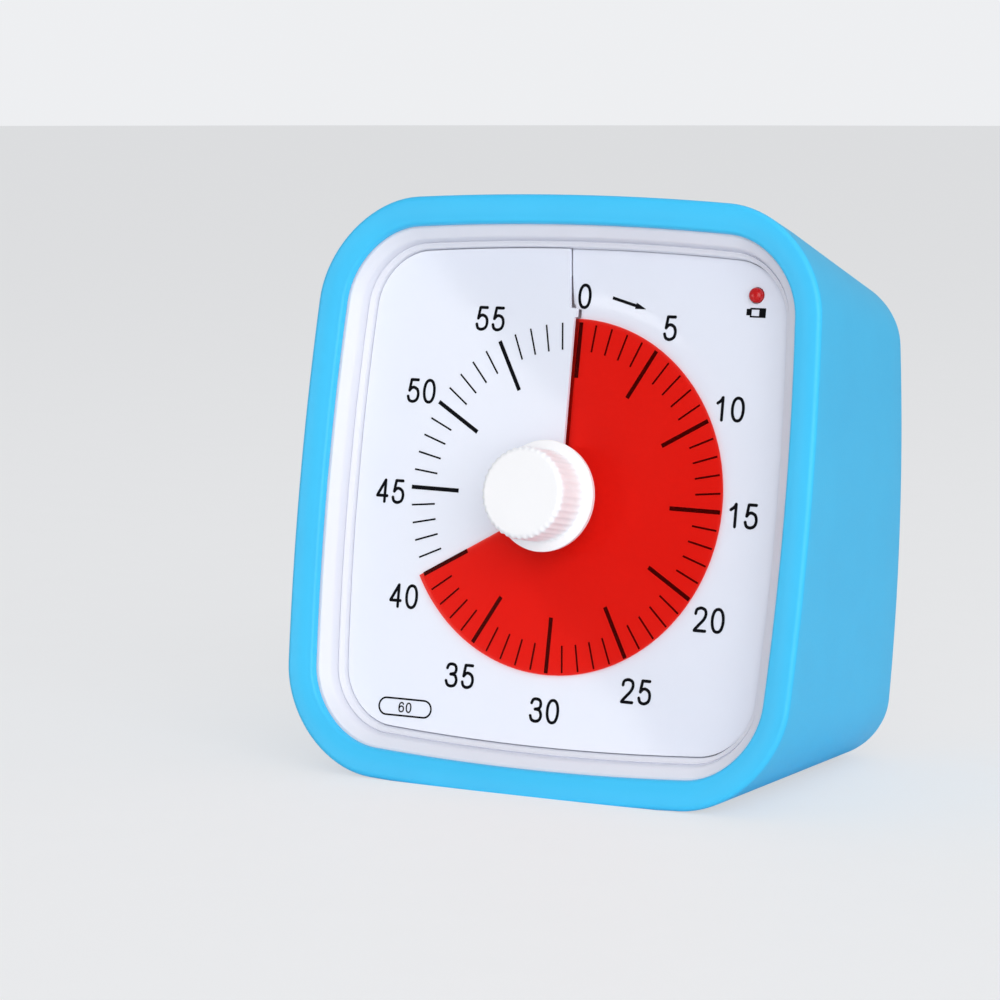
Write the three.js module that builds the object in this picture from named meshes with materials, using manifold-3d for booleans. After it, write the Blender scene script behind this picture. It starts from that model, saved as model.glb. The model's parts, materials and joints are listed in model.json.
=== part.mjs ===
// A desk timer with a red disc that shrinks as the minutes run out.
// Units are millimetres. World axes: +Z up, the dial faces -Y, +X to the viewer's right.
// The body is modelled in the frame of its dial: x right, y into the body from the dial's
// face, z up along the dial. That frame then leans back until the underside lies flat.

import * as THREE from 'three';
import { mergeVertices } from 'three/addons/utils/BufferGeometryUtils.js';
import Module from 'manifold-3d';

const wasm = await Module();
wasm.setup();

const degrees = Math.PI / 180;
const fullTurn = 2 * Math.PI;
const quarter = Math.PI / 2;
const cornerSigns = [[1, 1], [-1, 1], [-1, -1], [1, -1]];

// Overall form, over the silicone sleeve
const faceWidth = 97.2;
const faceHeight = 100;
const bodyDepth = 57.5;
const faceProud = 6.1;
const faceCorner = 17.8;
const backCorner = 9.5;
const lean = 9.65 * degrees;
const sideDraft = 8.5 * degrees;
const topDraft = 7.6 * degrees;
const backTilt = 7 * degrees;
const sideBowShare = 0.042;
const restLand = 0.35;

// Clearances
const gap = 0.3;
const overrun = 5;
const gearPlay = 0.1;

// Silicone sleeve
const sleeveWall = 2;
const lipThickness = 1.2;
const lipWidth = 4.8;
const lipCrown = 0.45;
const lipRound = 0.6;
const frontRound = 1;
const backRound = 5;
const backLipThickness = 2;
const backLipWidth = 7;

// Front bezel
const bezelWall = 1.8;
const bezelJoint = 10.2;
const bezelSlopeWidth = 0.75;
const bezelSlopeDrop = 2.8;
const ledgeWidth = 1.3;
const ledgeThickness = 1.95;
const ledgeProud = 0.9;

// Dial and film
const sheetThickness = 0.6;
const filmThickness = 0.4;
const filmBorder = 7.4;
const filmOverlap = 2 * degrees;
const restAngle = 240 * degrees;
const sheetHole = 5.8;
const dialBorder = 3.65;
const sheetRelief = 1.6;
const foldWidth = 1.2;
const sheetEdgeStep = 0.9;
const slitWidth = 0.2;
const slitOffset = 1.55;
const slotEdge = 0.05;
const jogLength = 0.2;

// Deck behind the dial
const deckFloor = 1.6;
const deckRecess = 1.55;
const studRadius = 3;
const studLength = 5;

// Knob
const knobRadius = 9.3;
const knobFront = 13.5;
const knobFlange = 1.1;
const knobStandoff = 4.7;
const knobNeckRadius = 5.5;
const knobNeckFront = 2.3;
const knobBodyRadius = 7.7;
const knobRib = 0.3;
const knobRibs = 40;
const knobEdge = 1;
const knobDome = 0.2;
const ribFootShare = 0.75;
const ribTipShare = 0.25;
const shaftGrip = 6.6;

// Shaft and clutch
const shaftRadius = 2.5;
const shaftFlat = 1.9;
const shaftFlangeRadius = 4;
const shaftFlange = 0.8;
const gearSeatRadius = 2;
const flatLength = 12.6;
const pivotRadius = 0.9;
const hubRadius = 5.1;
const hubLength = 2.6;
const clutchThickness = 0.3;
const clutchDish = 0.5;
const clutchRadius = 6;
const clipRadius = 3.6;
const clipThickness = 0.6;

// Gear train
const movementInset = 14.96;
const centreTeeth = 48;
const pinionTeeth = 12;
const wheelTeeth = 40;
const motorTeeth = 10;
const centreFace = 2.5;
const wheelFace = 2;
const pinionExtra = 0.2;
const camRadius = 7;
const camThickness = 2;
const camNotch = 1.2;
const arborRadius = 1.5;
const rootShare = 0.52;
const tipShare = 0.2;
const addendumShare = 0.9;
const dedendumShare = 1.25;

// Movement
const plateThickness = 1.5;
const plateGap = 12;
const plateMargin = 3;
const pillarRadius = 2.4;
const motorRadius = 8;
const motorLength = 9;
const motorShaftRadius = 0.75;
const motorBore = 2;

// Circuit board and sounder
const boardThickness = 1.6;
const boardSideInset = 2;
const boardTopInset = 4.1;
const boardClearance = 1.55;
const postLength = 3.7;
const postRadius = 2;
const postInsetX = 3.5;
const postInsetZ = 6;
const chipSize = 7;
const chipThickness = 1.6;
const buzzerRadius = 10;
const buzzerHeight = 7;
const buzzerRing = 1.2;
const buzzerRingLength = 4;
const buzzerX = -16;
const buzzerHeightShare = 0.62;
const grilleSlots = 5;
const grilleSlotWidth = 1.2;
const grillePitch = 2.6;
const grilleLength = 11;

// Rear housing
const housingWall = 1.8;
const housingRound = 3.5;
const bossRadius = 4;
const screwInset = 21.6;
const bossClearance = 0.8;
const bossWeb = 3;

// Volume switch
const switchX = 16;
const switchLength = 14;
const switchHeight = 6;
const switchDepth = 5;
const sliderLength = 4;
const sliderHeight = 2.6;
const sliderProud = 0.4;
const sliderTravel = 2.5;
const sliderFoot = 1.2;
const sliderFootMargin = 0.6;
const switchDish = 0.7;
const switchDishMargin = 1.2;

// Battery
const cellRadius = 7.25;
const cellLength = 49.2;
const cellNubRadius = 2.75;
const cellNub = 1;
const cellDropShare = 0.3;
const springLength = 5;
const springRadius = 3;
const springWire = 0.6;
const springTurns = 5;
const contactThickness = 0.4;
const contactWidth = 9;
const pocketClearance = 0.5;
const pocketWall = 1.5;
const doorThickness = 1.5;
const doorSeat = 1.4;
const tagLength = 1.2;

// Fasteners
const screwShank = 1.1;
const screwHeadRadius = 2.3;
const screwHead = 1.5;
const screwLength = 8.5;
const crossWidth = 0.6;
const crossLength = 2.6;
const smallShank = 0.8;
const smallHeadRadius = 1.6;
const smallHead = 0.8;

// Lamp and leads
const lampSideInset = 15.7;
const lampTopInset = 14.9;
const lampRadius = 1.35;
const lampProud = 0.8;
const lampFlange = 0.4;
const leadRadius = 0.6;
const leadStub = 1.5;
const leafThickness = 0.3;
const leafLength = 17;
const fixedLeafLength = 12;
const leafPostSize = 3;
const leafPostLength = 4;

// Numbers of facets
const cornerSteps = 8;
const sideSteps = 4;
const slackShare = 1e-6;
const roundSteps = 40;
const smallSteps = 14;
const filmSteps = 72;
const arcSteps = 4;
const leadSides = 8;
const leadStep = 3.5;
const springSteps = 10;

// Depths from the dial's face, front to back
const helixPitch = filmThickness + sheetThickness + 2 * gap;
const sheetMid = sheetThickness / 2;
const sheetBack = sheetMid + sheetEdgeStep / 2 + sheetThickness / 2;
const deckFront = sheetBack + gap;
const recessFloor = deckFront + deckRecess;
const deckBack = recessFloor + deckFloor;
const frontPlateFront = deckBack + gap;
const frontPlateBack = frontPlateFront + plateThickness;
const rearPlateFront = frontPlateBack + plateGap;
const rearPlateBack = rearPlateFront + plateThickness;
const flangeFront = frontPlateBack + gap;
const flangeBack = flangeFront + shaftFlange;
const clutchFront = flangeBack + gap;
const clutchBack = clutchFront + clutchThickness + clutchDish;
const centreFront = clutchBack + gap;
const centreBack = centreFront + centreFace;
const camBack = centreBack + camThickness;
const clipFront = camBack + gap;
const clipBack = clipFront + clipThickness;
const wheelFront = clipBack + gap;
const wheelBack = wheelFront + wheelFace;
const boardFront = rearPlateBack + postLength + gap;
const boardBack = boardFront + boardThickness;
const motorFront = rearPlateBack + gap;
const housingBack = bodyDepth - backLipThickness - gap;
const wedge = Math.tan(backTilt) / (housingBack - bezelJoint);

// Places on the dial, and the screw surface's radii, from the narrower of the two spans
const halfFace = Math.min(faceWidth, faceHeight) / 2;
const openingInset = lipWidth + gap + bezelSlopeWidth + ledgeWidth;
const recessRadius = halfFace - openingInset - gap - dialBorder;
const filmRadius = recessRadius - filmBorder;
const lampX = faceWidth / 2 - lampSideInset;
const lampZ = faceHeight / 2 - lampTopInset;

// Gear train: the module follows from the room beside the centre for the two wheels
const trainTeeth = (centreTeeth + pinionTeeth) / 2 + wheelTeeth / 2 + addendumShare;
const gearModule = (halfFace - movementInset - plateMargin - gearPlay) / trainTeeth;
const firstDistance = gearModule * (centreTeeth + pinionTeeth) / 2 + gearPlay;
const secondDistance = gearModule * (wheelTeeth + motorTeeth) / 2 + gearPlay;
const wheelTip = gearModule * (wheelTeeth / 2 + addendumShare);
const centreTip = gearModule * (centreTeeth / 2 + addendumShare);

// Movement plates, and the circuit board above the battery bay beside the motor
const plateLeft = -centreTip - plateMargin;
const plateRight = firstDistance + wheelTip + plateMargin;
const plateBottom = -centreTip - plateMargin;
const plateTop = secondDistance + motorRadius + plateMargin;
const cellZ = -cellDropShare * faceHeight / 2;
const pocketHeight = 2 * (cellRadius + pocketClearance);
const bayTop = cellZ + pocketHeight / 2 + pocketWall;
const boardLeft = plateLeft + boardSideInset;
const boardRight = firstDistance - motorRadius - boardClearance;
const boardWidth = boardRight - boardLeft;
const boardHeight = plateTop - boardTopInset - bayTop - bossClearance;
const boardX = (boardLeft + boardRight) / 2;
const boardZ = plateTop - boardTopInset - boardHeight / 2;

// Housing screws clear the plates above and the battery bay below
const screwX = faceWidth / 2 - screwInset;
const upperScrewZ = plateTop + bossClearance + bossRadius;
const lowerScrewZ = cellZ - pocketHeight / 2 - pocketWall - bossClearance - bossRadius;
const buzzerZ = bayTop + (upperScrewZ - bayTop) * buzzerHeightShare;
const switchZ = buzzerZ;

// Materials
function finish(color, roughness, metalness = 0) {
  return () => new THREE.MeshStandardMaterial({ color, roughness, metalness });
}

const blueSilicone = finish(0x5ac8f5, 0.65);
const whitePlastic = finish(0xebe8f0, 0.4);
const dialWhite = finish(0xf0f3fd, 0.35);
const filmRed = finish(0xe41e14, 0.3);
const steel = finish(0xb8bbc0, 0.3, 1);
const brass = finish(0xc9a450, 0.35, 1);
const acetal = finish(0xf2efe6, 0.5);
const boardGreen = finish(0x1f6b3a, 0.5);
const darkPlastic = finish(0x26282b, 0.5);
const lampRed = finish(0xc01018, 0.2);
const cellJacket = finish(0x3c4450, 0.4);
const leadRed = finish(0xb02020, 0.6);
const leadBlack = finish(0x202022, 0.6);

const face = new THREE.Group();
const rear = new THREE.Group();

function add(parent, name, geometry, material) {
  const mesh = new THREE.Mesh(geometry, material());
  mesh.name = name;
  parent.add(mesh);
  return mesh;
}

// Boolean helpers: a closed mesh becomes a solid, and a solid becomes a mesh again.
function solid(geometry) {
  const bare = new THREE.BufferGeometry();
  bare.setAttribute('position', geometry.getAttribute('position').clone());
  if (geometry.index) bare.setIndex(geometry.index.clone());
  const merged = mergeVertices(bare);
  const kept = [];
  for (let i = 0; i < merged.index.count; i += 3) {
    const corners = [merged.index.getX(i), merged.index.getX(i + 1), merged.index.getX(i + 2)];
    if (new Set(corners).size === corners.length) kept.push(...corners);
  }
  const vertProperties = new Float32Array(merged.getAttribute('position').array);
  return new wasm.Manifold(new wasm.Mesh({ numProp: 3, vertProperties, triVerts: new Uint32Array(kept) }));
}

function surface(body) {
  const mesh = body.getMesh();
  const geometry = new THREE.BufferGeometry();
  geometry.setAttribute('position', new THREE.BufferAttribute(mesh.vertProperties, 3));
  geometry.setIndex(new THREE.BufferAttribute(mesh.triVerts, 1));
  geometry.computeVertexNormals();
  return geometry;
}

function cut(body, tools) {
  return tools.reduce((left, tool) => left.subtract(solid(tool)), body);
}

function join(body, extras) {
  return extras.reduce((whole, extra) => whole.add(solid(extra)), body);
}

// Plain shapes, given by where they lie along the body's depth
function plate(shape, front, back) {
  const options = { depth: back - front, bevelEnabled: false, curveSegments: smallSteps / 2 };
  return new THREE.ExtrudeGeometry(shape, options).rotateX(quarter).translate(0, back, 0);
}

function rod(radius, front, back, x = 0, z = 0, steps = smallSteps) {
  return new THREE.CylinderGeometry(radius, radius, back - front, steps).translate(x, (front + back) / 2, z);
}

function block(width, front, back, height, x = 0, z = 0) {
  return new THREE.BoxGeometry(width, back - front, height).translate(x, (front + back) / 2, z);
}

function turned(profile, steps = smallSteps) {
  const points = profile.map(([radius, depth]) => new THREE.Vector2(radius, depth));
  return new THREE.LatheGeometry(points, steps);
}

function tube(outer, inner, front, back, x = 0, z = 0) {
  const profile = [[inner, front], [outer, front], [outer, back], [inner, back], [inner, front]];
  return turned(profile).translate(x, 0, z);
}

function roundedRectangle(width, height, corner, x = 0, z = 0) {
  const points = cornerSigns.flatMap(([sideX, sideZ], turn) => {
    return Array.from({ length: arcSteps + 1 }, (_, i) => {
      const angle = (turn + i / arcSteps) * quarter;
      const middleX = x + sideX * (width / 2 - corner);
      const middleZ = z + sideZ * (height / 2 - corner);
      return new THREE.Vector2(middleX + corner * Math.cos(angle), middleZ + corner * Math.sin(angle));
    });
  });
  return new THREE.Shape(points);
}

// The outline of a toothed or ribbed round, each tooth as wide as its part of the pitch
function toothed(teeth, root, tip, rootPart, tipPart, phase) {
  const shape = new THREE.Shape();
  const pitch = fullTurn / teeth;
  for (let i = 0; i < teeth; i += 1) {
    const middle = phase + i * pitch;
    const corners = [[root, -rootPart], [tip, -tipPart], [tip, tipPart], [root, rootPart]];
    corners.forEach(([radius, part], k) => {
      const angle = middle + part * pitch / 2;
      const place = [radius * Math.cos(angle), radius * Math.sin(angle)];
      if (i + k === 0) shape.moveTo(...place);
      else shape.lineTo(...place);
    });
  }
  return shape;
}

function holed(shape, holes) {
  holes.forEach(([radius, x, z]) => shape.holes.push(new THREE.Path().absarc(x, z, radius, 0, fullTurn)));
  return shape;
}

// The body's outline at a depth behind the front rim, drawn in by an inset. The underside's
// half height is worked out so that its middle line is straight and square to the lean.
function undersideAt(depth) {
  const slope = Math.tan(lean);
  const atJoint = faceHeight / 2 - Math.min(depth, bezelJoint) * slope;
  const run = Math.max(depth - bezelJoint, 0);
  return atJoint - slope * run * (1 + wedge * atJoint) / (1 + slope * run * wedge);
}

function section(inset, depth) {
  const half = faceWidth / 2 - depth * Math.tan(sideDraft) - inset;
  const top = faceHeight / 2 - depth * Math.tan(topDraft) - inset;
  const bottom = undersideAt(depth) - inset;
  const corner = faceCorner - (faceCorner - backCorner) * depth / bodyDepth - inset;
  const middle = (top - bottom) / 2;
  const tall = (top + bottom) / 2;
  const flat = [];
  cornerSigns.forEach(([sideX, sideZ], turn) => {
    const x = sideX * (half - corner);
    const z = sideZ > 0 ? top - corner : corner - bottom;
    for (let i = 0; i <= cornerSteps; i += 1) {
      const angle = (turn + i / cornerSteps) * quarter;
      flat.push([x + corner * Math.cos(angle), z + corner * Math.sin(angle)]);
    }
  });
  const points = [];
  flat.forEach(([x, z], i) => {
    points.push([x, z]);
    const [nextX, nextZ] = flat[(i + 1) % flat.length];
    if ((i + 1) % (cornerSteps + 1) === 0) {
      for (let k = 1; k < sideSteps; k += 1) {
        points.push([x + (nextX - x) * k / sideSteps, z + (nextZ - z) * k / sideSteps]);
      }
    }
  });
  const run = Math.max(depth - bezelJoint, 0);
  return points.map(([x, z]) => {
    const bowX = x * (1 - sideBowShare * ((z - middle) / tall) ** 2);
    const bowZ = middle + (z - middle) * (1 - sideBowShare * (x / half) ** 2);
    return new THREE.Vector3(bowX, depth - faceProud - run * wedge * bowZ, bowZ);
  });
}

// A closed body through a row of outlines, each with the same number of points. A hollow one
// joins its last outline to its first; any other is closed by a fan at each end.
function loft(rings, hollow = false) {
  const count = rings[0].length;
  const points = rings.flat();
  const index = [];
  const last = hollow ? rings.length : rings.length - 1;
  for (let i = 0; i < last; i += 1) {
    for (let j = 0; j < count; j += 1) {
      const here = i * count;
      const next = ((i + 1) % rings.length) * count;
      const k = (j + 1) % count;
      index.push(here + j, next + j, here + k, next + j, next + k, here + k);
    }
  }
  if (!hollow) {
    [rings[0], rings[rings.length - 1]].forEach((ring, end) => {
      const hub = points.length;
      const middle = ring.reduce((sum, point) => sum.add(point), new THREE.Vector3());
      points.push(middle.divideScalar(count));
      const start = end * (rings.length - 1) * count;
      for (let j = 0; j < count; j += 1) {
        const k = (j + 1) % count;
        index.push(hub, start + (end ? k : j), start + (end ? j : k));
      }
    });
  }
  const geometry = new THREE.BufferGeometry().setFromPoints(points);
  geometry.setIndex(index);
  geometry.computeVertexNormals();
  return geometry;
}

function ringBody(profile) {
  return loft(profile.map(([inset, depth]) => section(inset, depth)), true);
}

function arc(inset, depth, radius, from, to, steps = arcSteps) {
  return Array.from({ length: steps + 1 }, (_, i) => {
    const angle = from + (to - from) * i / steps;
    return [inset - radius * Math.sin(angle), depth - radius * Math.cos(angle)];
  });
}

// Silicone sleeve: a soft jacket stretched round the case, with a lip over the front bezel
// and one over the back. Its underside is cut flat where it rests.
const lipBack = lipCrown + lipThickness;
const backLipFront = bodyDepth - backLipThickness;
const sleeveProfile = [
  ...arc(lipWidth - lipRound, lipCrown + lipRound, lipRound, -quarter, 0, 2),
  [lipWidth / 2, 0],
  ...arc(frontRound, frontRound + lipCrown / 4, frontRound, 0, quarter),
  [0, bezelJoint],
  [0, (bezelJoint + bodyDepth) / 2],
  ...arc(backRound, bodyDepth - backRound, backRound, quarter, 2 * quarter),
  [backLipWidth, bodyDepth],
  [backLipWidth, backLipFront],
  ...arc(sleeveWall + housingRound, backLipFront - housingRound, housingRound, 2 * quarter, quarter),
  [sleeveWall, (bezelJoint + bodyDepth) / 2],
  [sleeveWall, bezelJoint],
  [sleeveWall, lipBack],
  [lipWidth, lipBack],
];

function floorBox() {
  const box = new THREE.BoxGeometry(2 * faceWidth, 2 * faceHeight, faceHeight);
  box.translate(0, faceHeight / 2, restLand - faceHeight / 2).rotateX(lean);
  return box.translate(0, -faceProud, -faceHeight / 2);
}

add(face, 'silicone_sleeve', surface(cut(solid(ringBody(sleeveProfile)), [floorBox()])), blueSilicone);

// Front bezel: white moulded ring that slopes down from the sleeve's lip, steps down to a
// flat ledge round the dial, and has a skirt that meets the rear housing.
const caseInset = sleeveWall + gap;
const cavityInset = caseInset + bezelWall;
const bezelFront = lipBack + gap;
const slopeTop = lipWidth + gap;
const slopeFoot = slopeTop + bezelSlopeWidth;
const ledgeFront = faceProud - ledgeProud;
const ledgeBack = ledgeFront + ledgeThickness;
const bezelBack = bezelJoint - gap / 2;
const bezelProfile = [
  [slopeTop, bezelFront],
  [caseInset, bezelFront],
  [caseInset, bezelBack],
  [cavityInset, bezelBack],
  [cavityInset, ledgeBack],
  [openingInset, ledgeBack],
  [openingInset, ledgeFront],
  [slopeFoot, ledgeFront],
  [slopeFoot, bezelFront + bezelSlopeDrop],
];
add(face, 'front_bezel', ringBody(bezelProfile), whitePlastic);

// A thin curved slab from a grid of mid-surface points, rows from the inside out and
// columns clockwise as the viewer sees them.
function slab(grid, thickness) {
  const rows = grid.length;
  const columns = grid[0].length;
  const shift = rows * columns;
  const middle = grid.flat();
  const fronts = middle.map((point) => point.clone().setY(point.y - thickness / 2));
  const backs = middle.map((point) => point.clone().setY(point.y + thickness / 2));
  const at = (j, i) => j * columns + i;
  const index = [];
  const wall = (p, q) => index.push(q, p, p + shift, q, p + shift, q + shift);
  for (let j = 0; j < rows - 1; j += 1) {
    for (let i = 0; i < columns - 1; i += 1) {
      const [a, b, c, d] = [at(j, i), at(j + 1, i), at(j + 1, i + 1), at(j, i + 1)];
      index.push(a, d, c, a, c, b, a + shift, c + shift, d + shift, a + shift, b + shift, c + shift);
    }
    wall(at(j, columns - 1), at(j + 1, columns - 1));
    wall(at(j + 1, 0), at(j, 0));
  }
  for (let i = 0; i < columns - 1; i += 1) {
    wall(at(0, i), at(0, i + 1));
    wall(at(rows - 1, i + 1), at(rows - 1, i));
  }
  const geometry = new THREE.BufferGeometry().setFromPoints([...fronts, ...backs]);
  geometry.setIndex(index);
  geometry.computeVertexNormals();
  return geometry;
}

// A point on the dial at a clockwise angle from twelve o'clock
function onDial(radius, angle, depth) {
  return new THREE.Vector3(radius * Math.sin(angle), depth, radius * Math.cos(angle));
}

// Dial sheet: one turn of a shallow screw surface, slit from its hole to its edge, so that
// the film above it on the right of the slit is below it on the left. Beyond the film the
// slit jogs to the left of the nought, and the sheet folds to a lower step.
const sheetFoldRadius = filmRadius + sheetRelief;
const sheetEdge = section(openingInset + gap, ledgeBack);
const sheetAngles = sheetEdge.map(({ x, z }) => (Math.atan2(x, z) + fullTurn) % fullTurn);
const slitAngle = Math.asin((slitOffset + slitWidth) / sheetFoldRadius);
const innerAngles = sheetAngles.filter((angle) => angle > slitAngle && angle < fullTurn - 2 * slitAngle);
innerAngles.sort((a, b) => a - b);

function reach(outline, angle) {
  const [dirX, dirZ] = [Math.sin(angle), Math.cos(angle)];
  const hits = outline.map((from, i) => {
    const to = outline[(i + 1) % outline.length];
    const [edgeX, edgeZ] = [to.x - from.x, to.z - from.z];
    const cross = dirX * edgeZ - dirZ * edgeX;
    const along = (from.x * dirZ - from.z * dirX) / cross;
    const distance = (from.x * edgeZ - from.z * edgeX) / cross;
    return along >= -slackShare && along <= 1 + slackShare && distance > 0 ? distance : 0;
  });
  return Math.max(...hits);
}

function sheetDepth(radius, angle) {
  const share = THREE.MathUtils.smoothstep(radius, sheetFoldRadius, sheetFoldRadius + foldWidth);
  const step = helixPitch + (sheetEdgeStep - helixPitch) * share;
  return sheetMid - step * (angle / fullTurn - 1 / 2);
}

const slitSides = [-slitOffset + slitWidth / 2, -slitOffset - slitWidth / 2];
const sheetRows = [
  [sheetHole, slotEdge, -slotEdge],
  [sheetFoldRadius, slotEdge, -slotEdge],
  [sheetFoldRadius + jogLength, ...slitSides],
  [sheetFoldRadius + foldWidth, ...slitSides],
];
const sheetGrid = sheetRows.map(([radius, right, left]) => {
  const ends = [Math.asin(right / radius), fullTurn + Math.asin(left / radius)];
  return [ends[0], ...innerAngles, ends[1]].map((angle) => onDial(radius, angle, sheetDepth(radius, angle)));
});
const edgeReach = reach(sheetEdge, 0);
const edgeEnds = slitSides.map((x) => Math.asin(x / edgeReach));
const edgeAngles = [edgeEnds[0], ...innerAngles, fullTurn + edgeEnds[1]];
sheetGrid.push(edgeAngles.map((angle) => {
  const edge = reach(sheetEdge, angle);
  return onDial(edge, angle, sheetDepth(edge, angle));
}));
const lampHole = rod(lampRadius + gap, -overrun, overrun, lampX, lampZ);
add(face, 'dial_sheet', surface(cut(solid(slab(sheetGrid, sheetThickness)), [lampHole])), dialWhite);

// Time film: the red disc, a little over one turn of the same screw surface. It is drawn
// through the slit as it turns, so that what is left above the sheet shows the minutes left.
const filmStart = restAngle - fullTurn - filmOverlap;
const filmAngles = Array.from({ length: filmSteps + 1 }, (_, i) => {
  return filmStart + (restAngle - filmStart) * i / filmSteps;
});
const filmGrid = [hubRadius + gap, filmRadius].map((radius) => {
  return filmAngles.map((angle) => onDial(radius, angle, sheetMid - helixPitch * angle / fullTurn));
});
add(face, 'time_film', slab(filmGrid, filmThickness), filmRed);

// A shaft section with two flats, drawn larger by a margin
function flattedRod(margin, front, back) {
  const round = solid(rod(shaftRadius + margin, front, back));
  const flats = block(2 * (shaftFlat + margin), front - overrun, back + overrun, 4 * shaftRadius);
  return round.intersect(solid(flats));
}

// Film hub: slides along the flatted shaft as the film climbs its screw surface
const filmMiddle = sheetMid - helixPitch * (restAngle + filmStart) / (2 * fullTurn);
const hubFront = filmMiddle - hubLength / 2;
const hubBack = filmMiddle + hubLength / 2;
const hubSolid = solid(rod(hubRadius, hubFront, hubBack, 0, 0, roundSteps));
const hubBored = hubSolid.subtract(flattedRod(gap, hubFront - overrun, hubBack + overrun));
add(face, 'film_hub', surface(hubBored), acetal);

// Knob: a mushroom with a wide flange and a ribbed grip, pressed on the end of the shaft
const flangeKnobFront = -knobStandoff - knobFlange;
const shoulder = knobEdge + knobDome - knobFront;
const gripInner = knobBodyRadius - knobRib;

function roundedEdge(radius) {
  return Array.from({ length: arcSteps + 1 }, (_, i) => {
    const angle = quarter * i / arcSteps;
    return [radius - knobEdge * (1 - Math.cos(angle)), shoulder - knobEdge * Math.sin(angle)];
  });
}

const knobProfile = [
  [0, -knobNeckFront],
  [knobNeckRadius, -knobNeckFront],
  [knobNeckRadius, -knobStandoff],
  [knobRadius, -knobStandoff],
  [knobRadius, flangeKnobFront],
  [gripInner, flangeKnobFront],
  ...roundedEdge(gripInner),
  [0, -knobFront],
].reverse();
const ribFoot = -knobStandoff - knobFlange / 2;
const ribShape = toothed(knobRibs, gripInner - knobRib, knobBodyRadius, ribFootShare, ribTipShare, 0);
const ribLimit = [
  [0, -knobStandoff],
  [knobBodyRadius, -knobStandoff],
  ...roundedEdge(knobBodyRadius),
  [0, shoulder - knobEdge],
].reverse();
const ribs = solid(plate(ribShape, -knobFront, ribFoot)).intersect(solid(turned(ribLimit, roundSteps)));
const shaftFront = -knobNeckFront - shaftGrip;
const knobBore = flattedRod(gap, shaftFront - gap, overrun);
const knobSolid = solid(turned(knobProfile, roundSteps)).add(ribs).subtract(knobBore);
add(face, 'knob', surface(knobSolid), whitePlastic);

// Knob shaft: flatted at the front for the knob and the hub, with a flange for the clutch,
// a seat for the centre wheel and a pivot at the back
const pivotBack = rearPlateBack - gap;
const shaftProfile = [
  [0, shaftFront],
  [shaftRadius, shaftFront],
  [shaftRadius, flangeFront],
  [shaftFlangeRadius, flangeFront],
  [shaftFlangeRadius, flangeBack],
  [gearSeatRadius, flangeBack],
  [gearSeatRadius, rearPlateFront - gap],
  [pivotRadius, rearPlateFront - gap],
  [pivotRadius, pivotBack],
  [0, pivotBack],
];
const flatX = shaftFlat + shaftRadius;
const flatCuts = [-flatX, flatX].map((x) => {
  return block(2 * shaftRadius, shaftFront - overrun, shaftFront + flatLength, 4 * shaftRadius, x);
});
add(face, 'knob_shaft', surface(cut(solid(turned(shaftProfile)), flatCuts)), steel);

// Slip clutch: a dished spring washer that presses the centre wheel, so that the knob can be
// set by hand while the motor drives the wheel
const washerBore = gearSeatRadius + gap;
const clutchProfile = [
  [washerBore, clutchFront],
  [clutchRadius, clutchFront + clutchDish],
  [clutchRadius, clutchBack],
  [washerBore, clutchFront + clutchThickness],
  [washerBore, clutchFront],
];
add(face, 'clutch_washer', turned(clutchProfile, roundSteps), steel);

// Gears: involute pitch sizes with straight flanks and wide backlash, as moulded clock wheels
function gear(teeth, front, back, phase) {
  const root = gearModule * (teeth / 2 - dedendumShare);
  const tip = gearModule * (teeth / 2 + addendumShare);
  return plate(toothed(teeth, root, tip, rootShare, tipShare, phase), front, back);
}

const camNotchCut = block(2 * camNotch, centreBack, camBack + overrun, 2 * camNotch, -camRadius);
const centreGear = join(solid(gear(centreTeeth, centreFront, centreBack, 0)), [
  rod(camRadius, centreFront, camBack, 0, 0, roundSteps),
]);
const centreBore = rod(gearSeatRadius + gap, centreFront - overrun, camBack + overrun);
add(face, 'centre_wheel', surface(cut(centreGear, [centreBore, camNotchCut])), acetal);

// Shaft clip: an open spring ring behind the centre wheel
const clipEnds = [clipFront - overrun, clipBack + overrun];
const clipGap = block(gearSeatRadius, ...clipEnds, 2 * clipRadius, 0, clipRadius);
const clipRing = solid(tube(clipRadius, gearSeatRadius + gap, clipFront, clipBack));
add(face, 'shaft_clip', surface(cut(clipRing, [clipGap])), steel);

// Intermediate wheel: one moulding with a small pinion, a wheel and two pivots
const pinionFront = centreFront - pinionExtra;
const pinionBack = centreBack + pinionExtra;
const pivotFront = deckBack + 2 * gap;
const pinionPhase = Math.PI + Math.PI / pinionTeeth;
const intermediate = join(solid(gear(pinionTeeth, pinionFront, pinionBack, pinionPhase)), [
  gear(wheelTeeth, wheelFront, wheelBack, quarter),
  rod(arborRadius, pinionFront, wheelBack),
  rod(pivotRadius, pivotFront, pivotBack),
]);
const intermediateMesh = add(face, 'intermediate_wheel', surface(intermediate), acetal);
intermediateMesh.position.set(firstDistance, 0, 0);

// Motor pinion on the motor's shaft
const motorPinionFront = wheelFront - pinionExtra;
const motorPinionBack = wheelBack + pinionExtra;
const motorPhase = 3 * quarter + Math.PI / motorTeeth;
const motorPinion = join(solid(gear(motorTeeth, motorPinionFront, motorPinionBack, motorPhase)), [
  rod(motorShaftRadius, motorPinionFront, motorFront + motorBore - gap),
]);
const pinionMesh = add(face, 'motor_pinion', surface(motorPinion), brass);
pinionMesh.position.set(firstDistance, 0, secondDistance);

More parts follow.
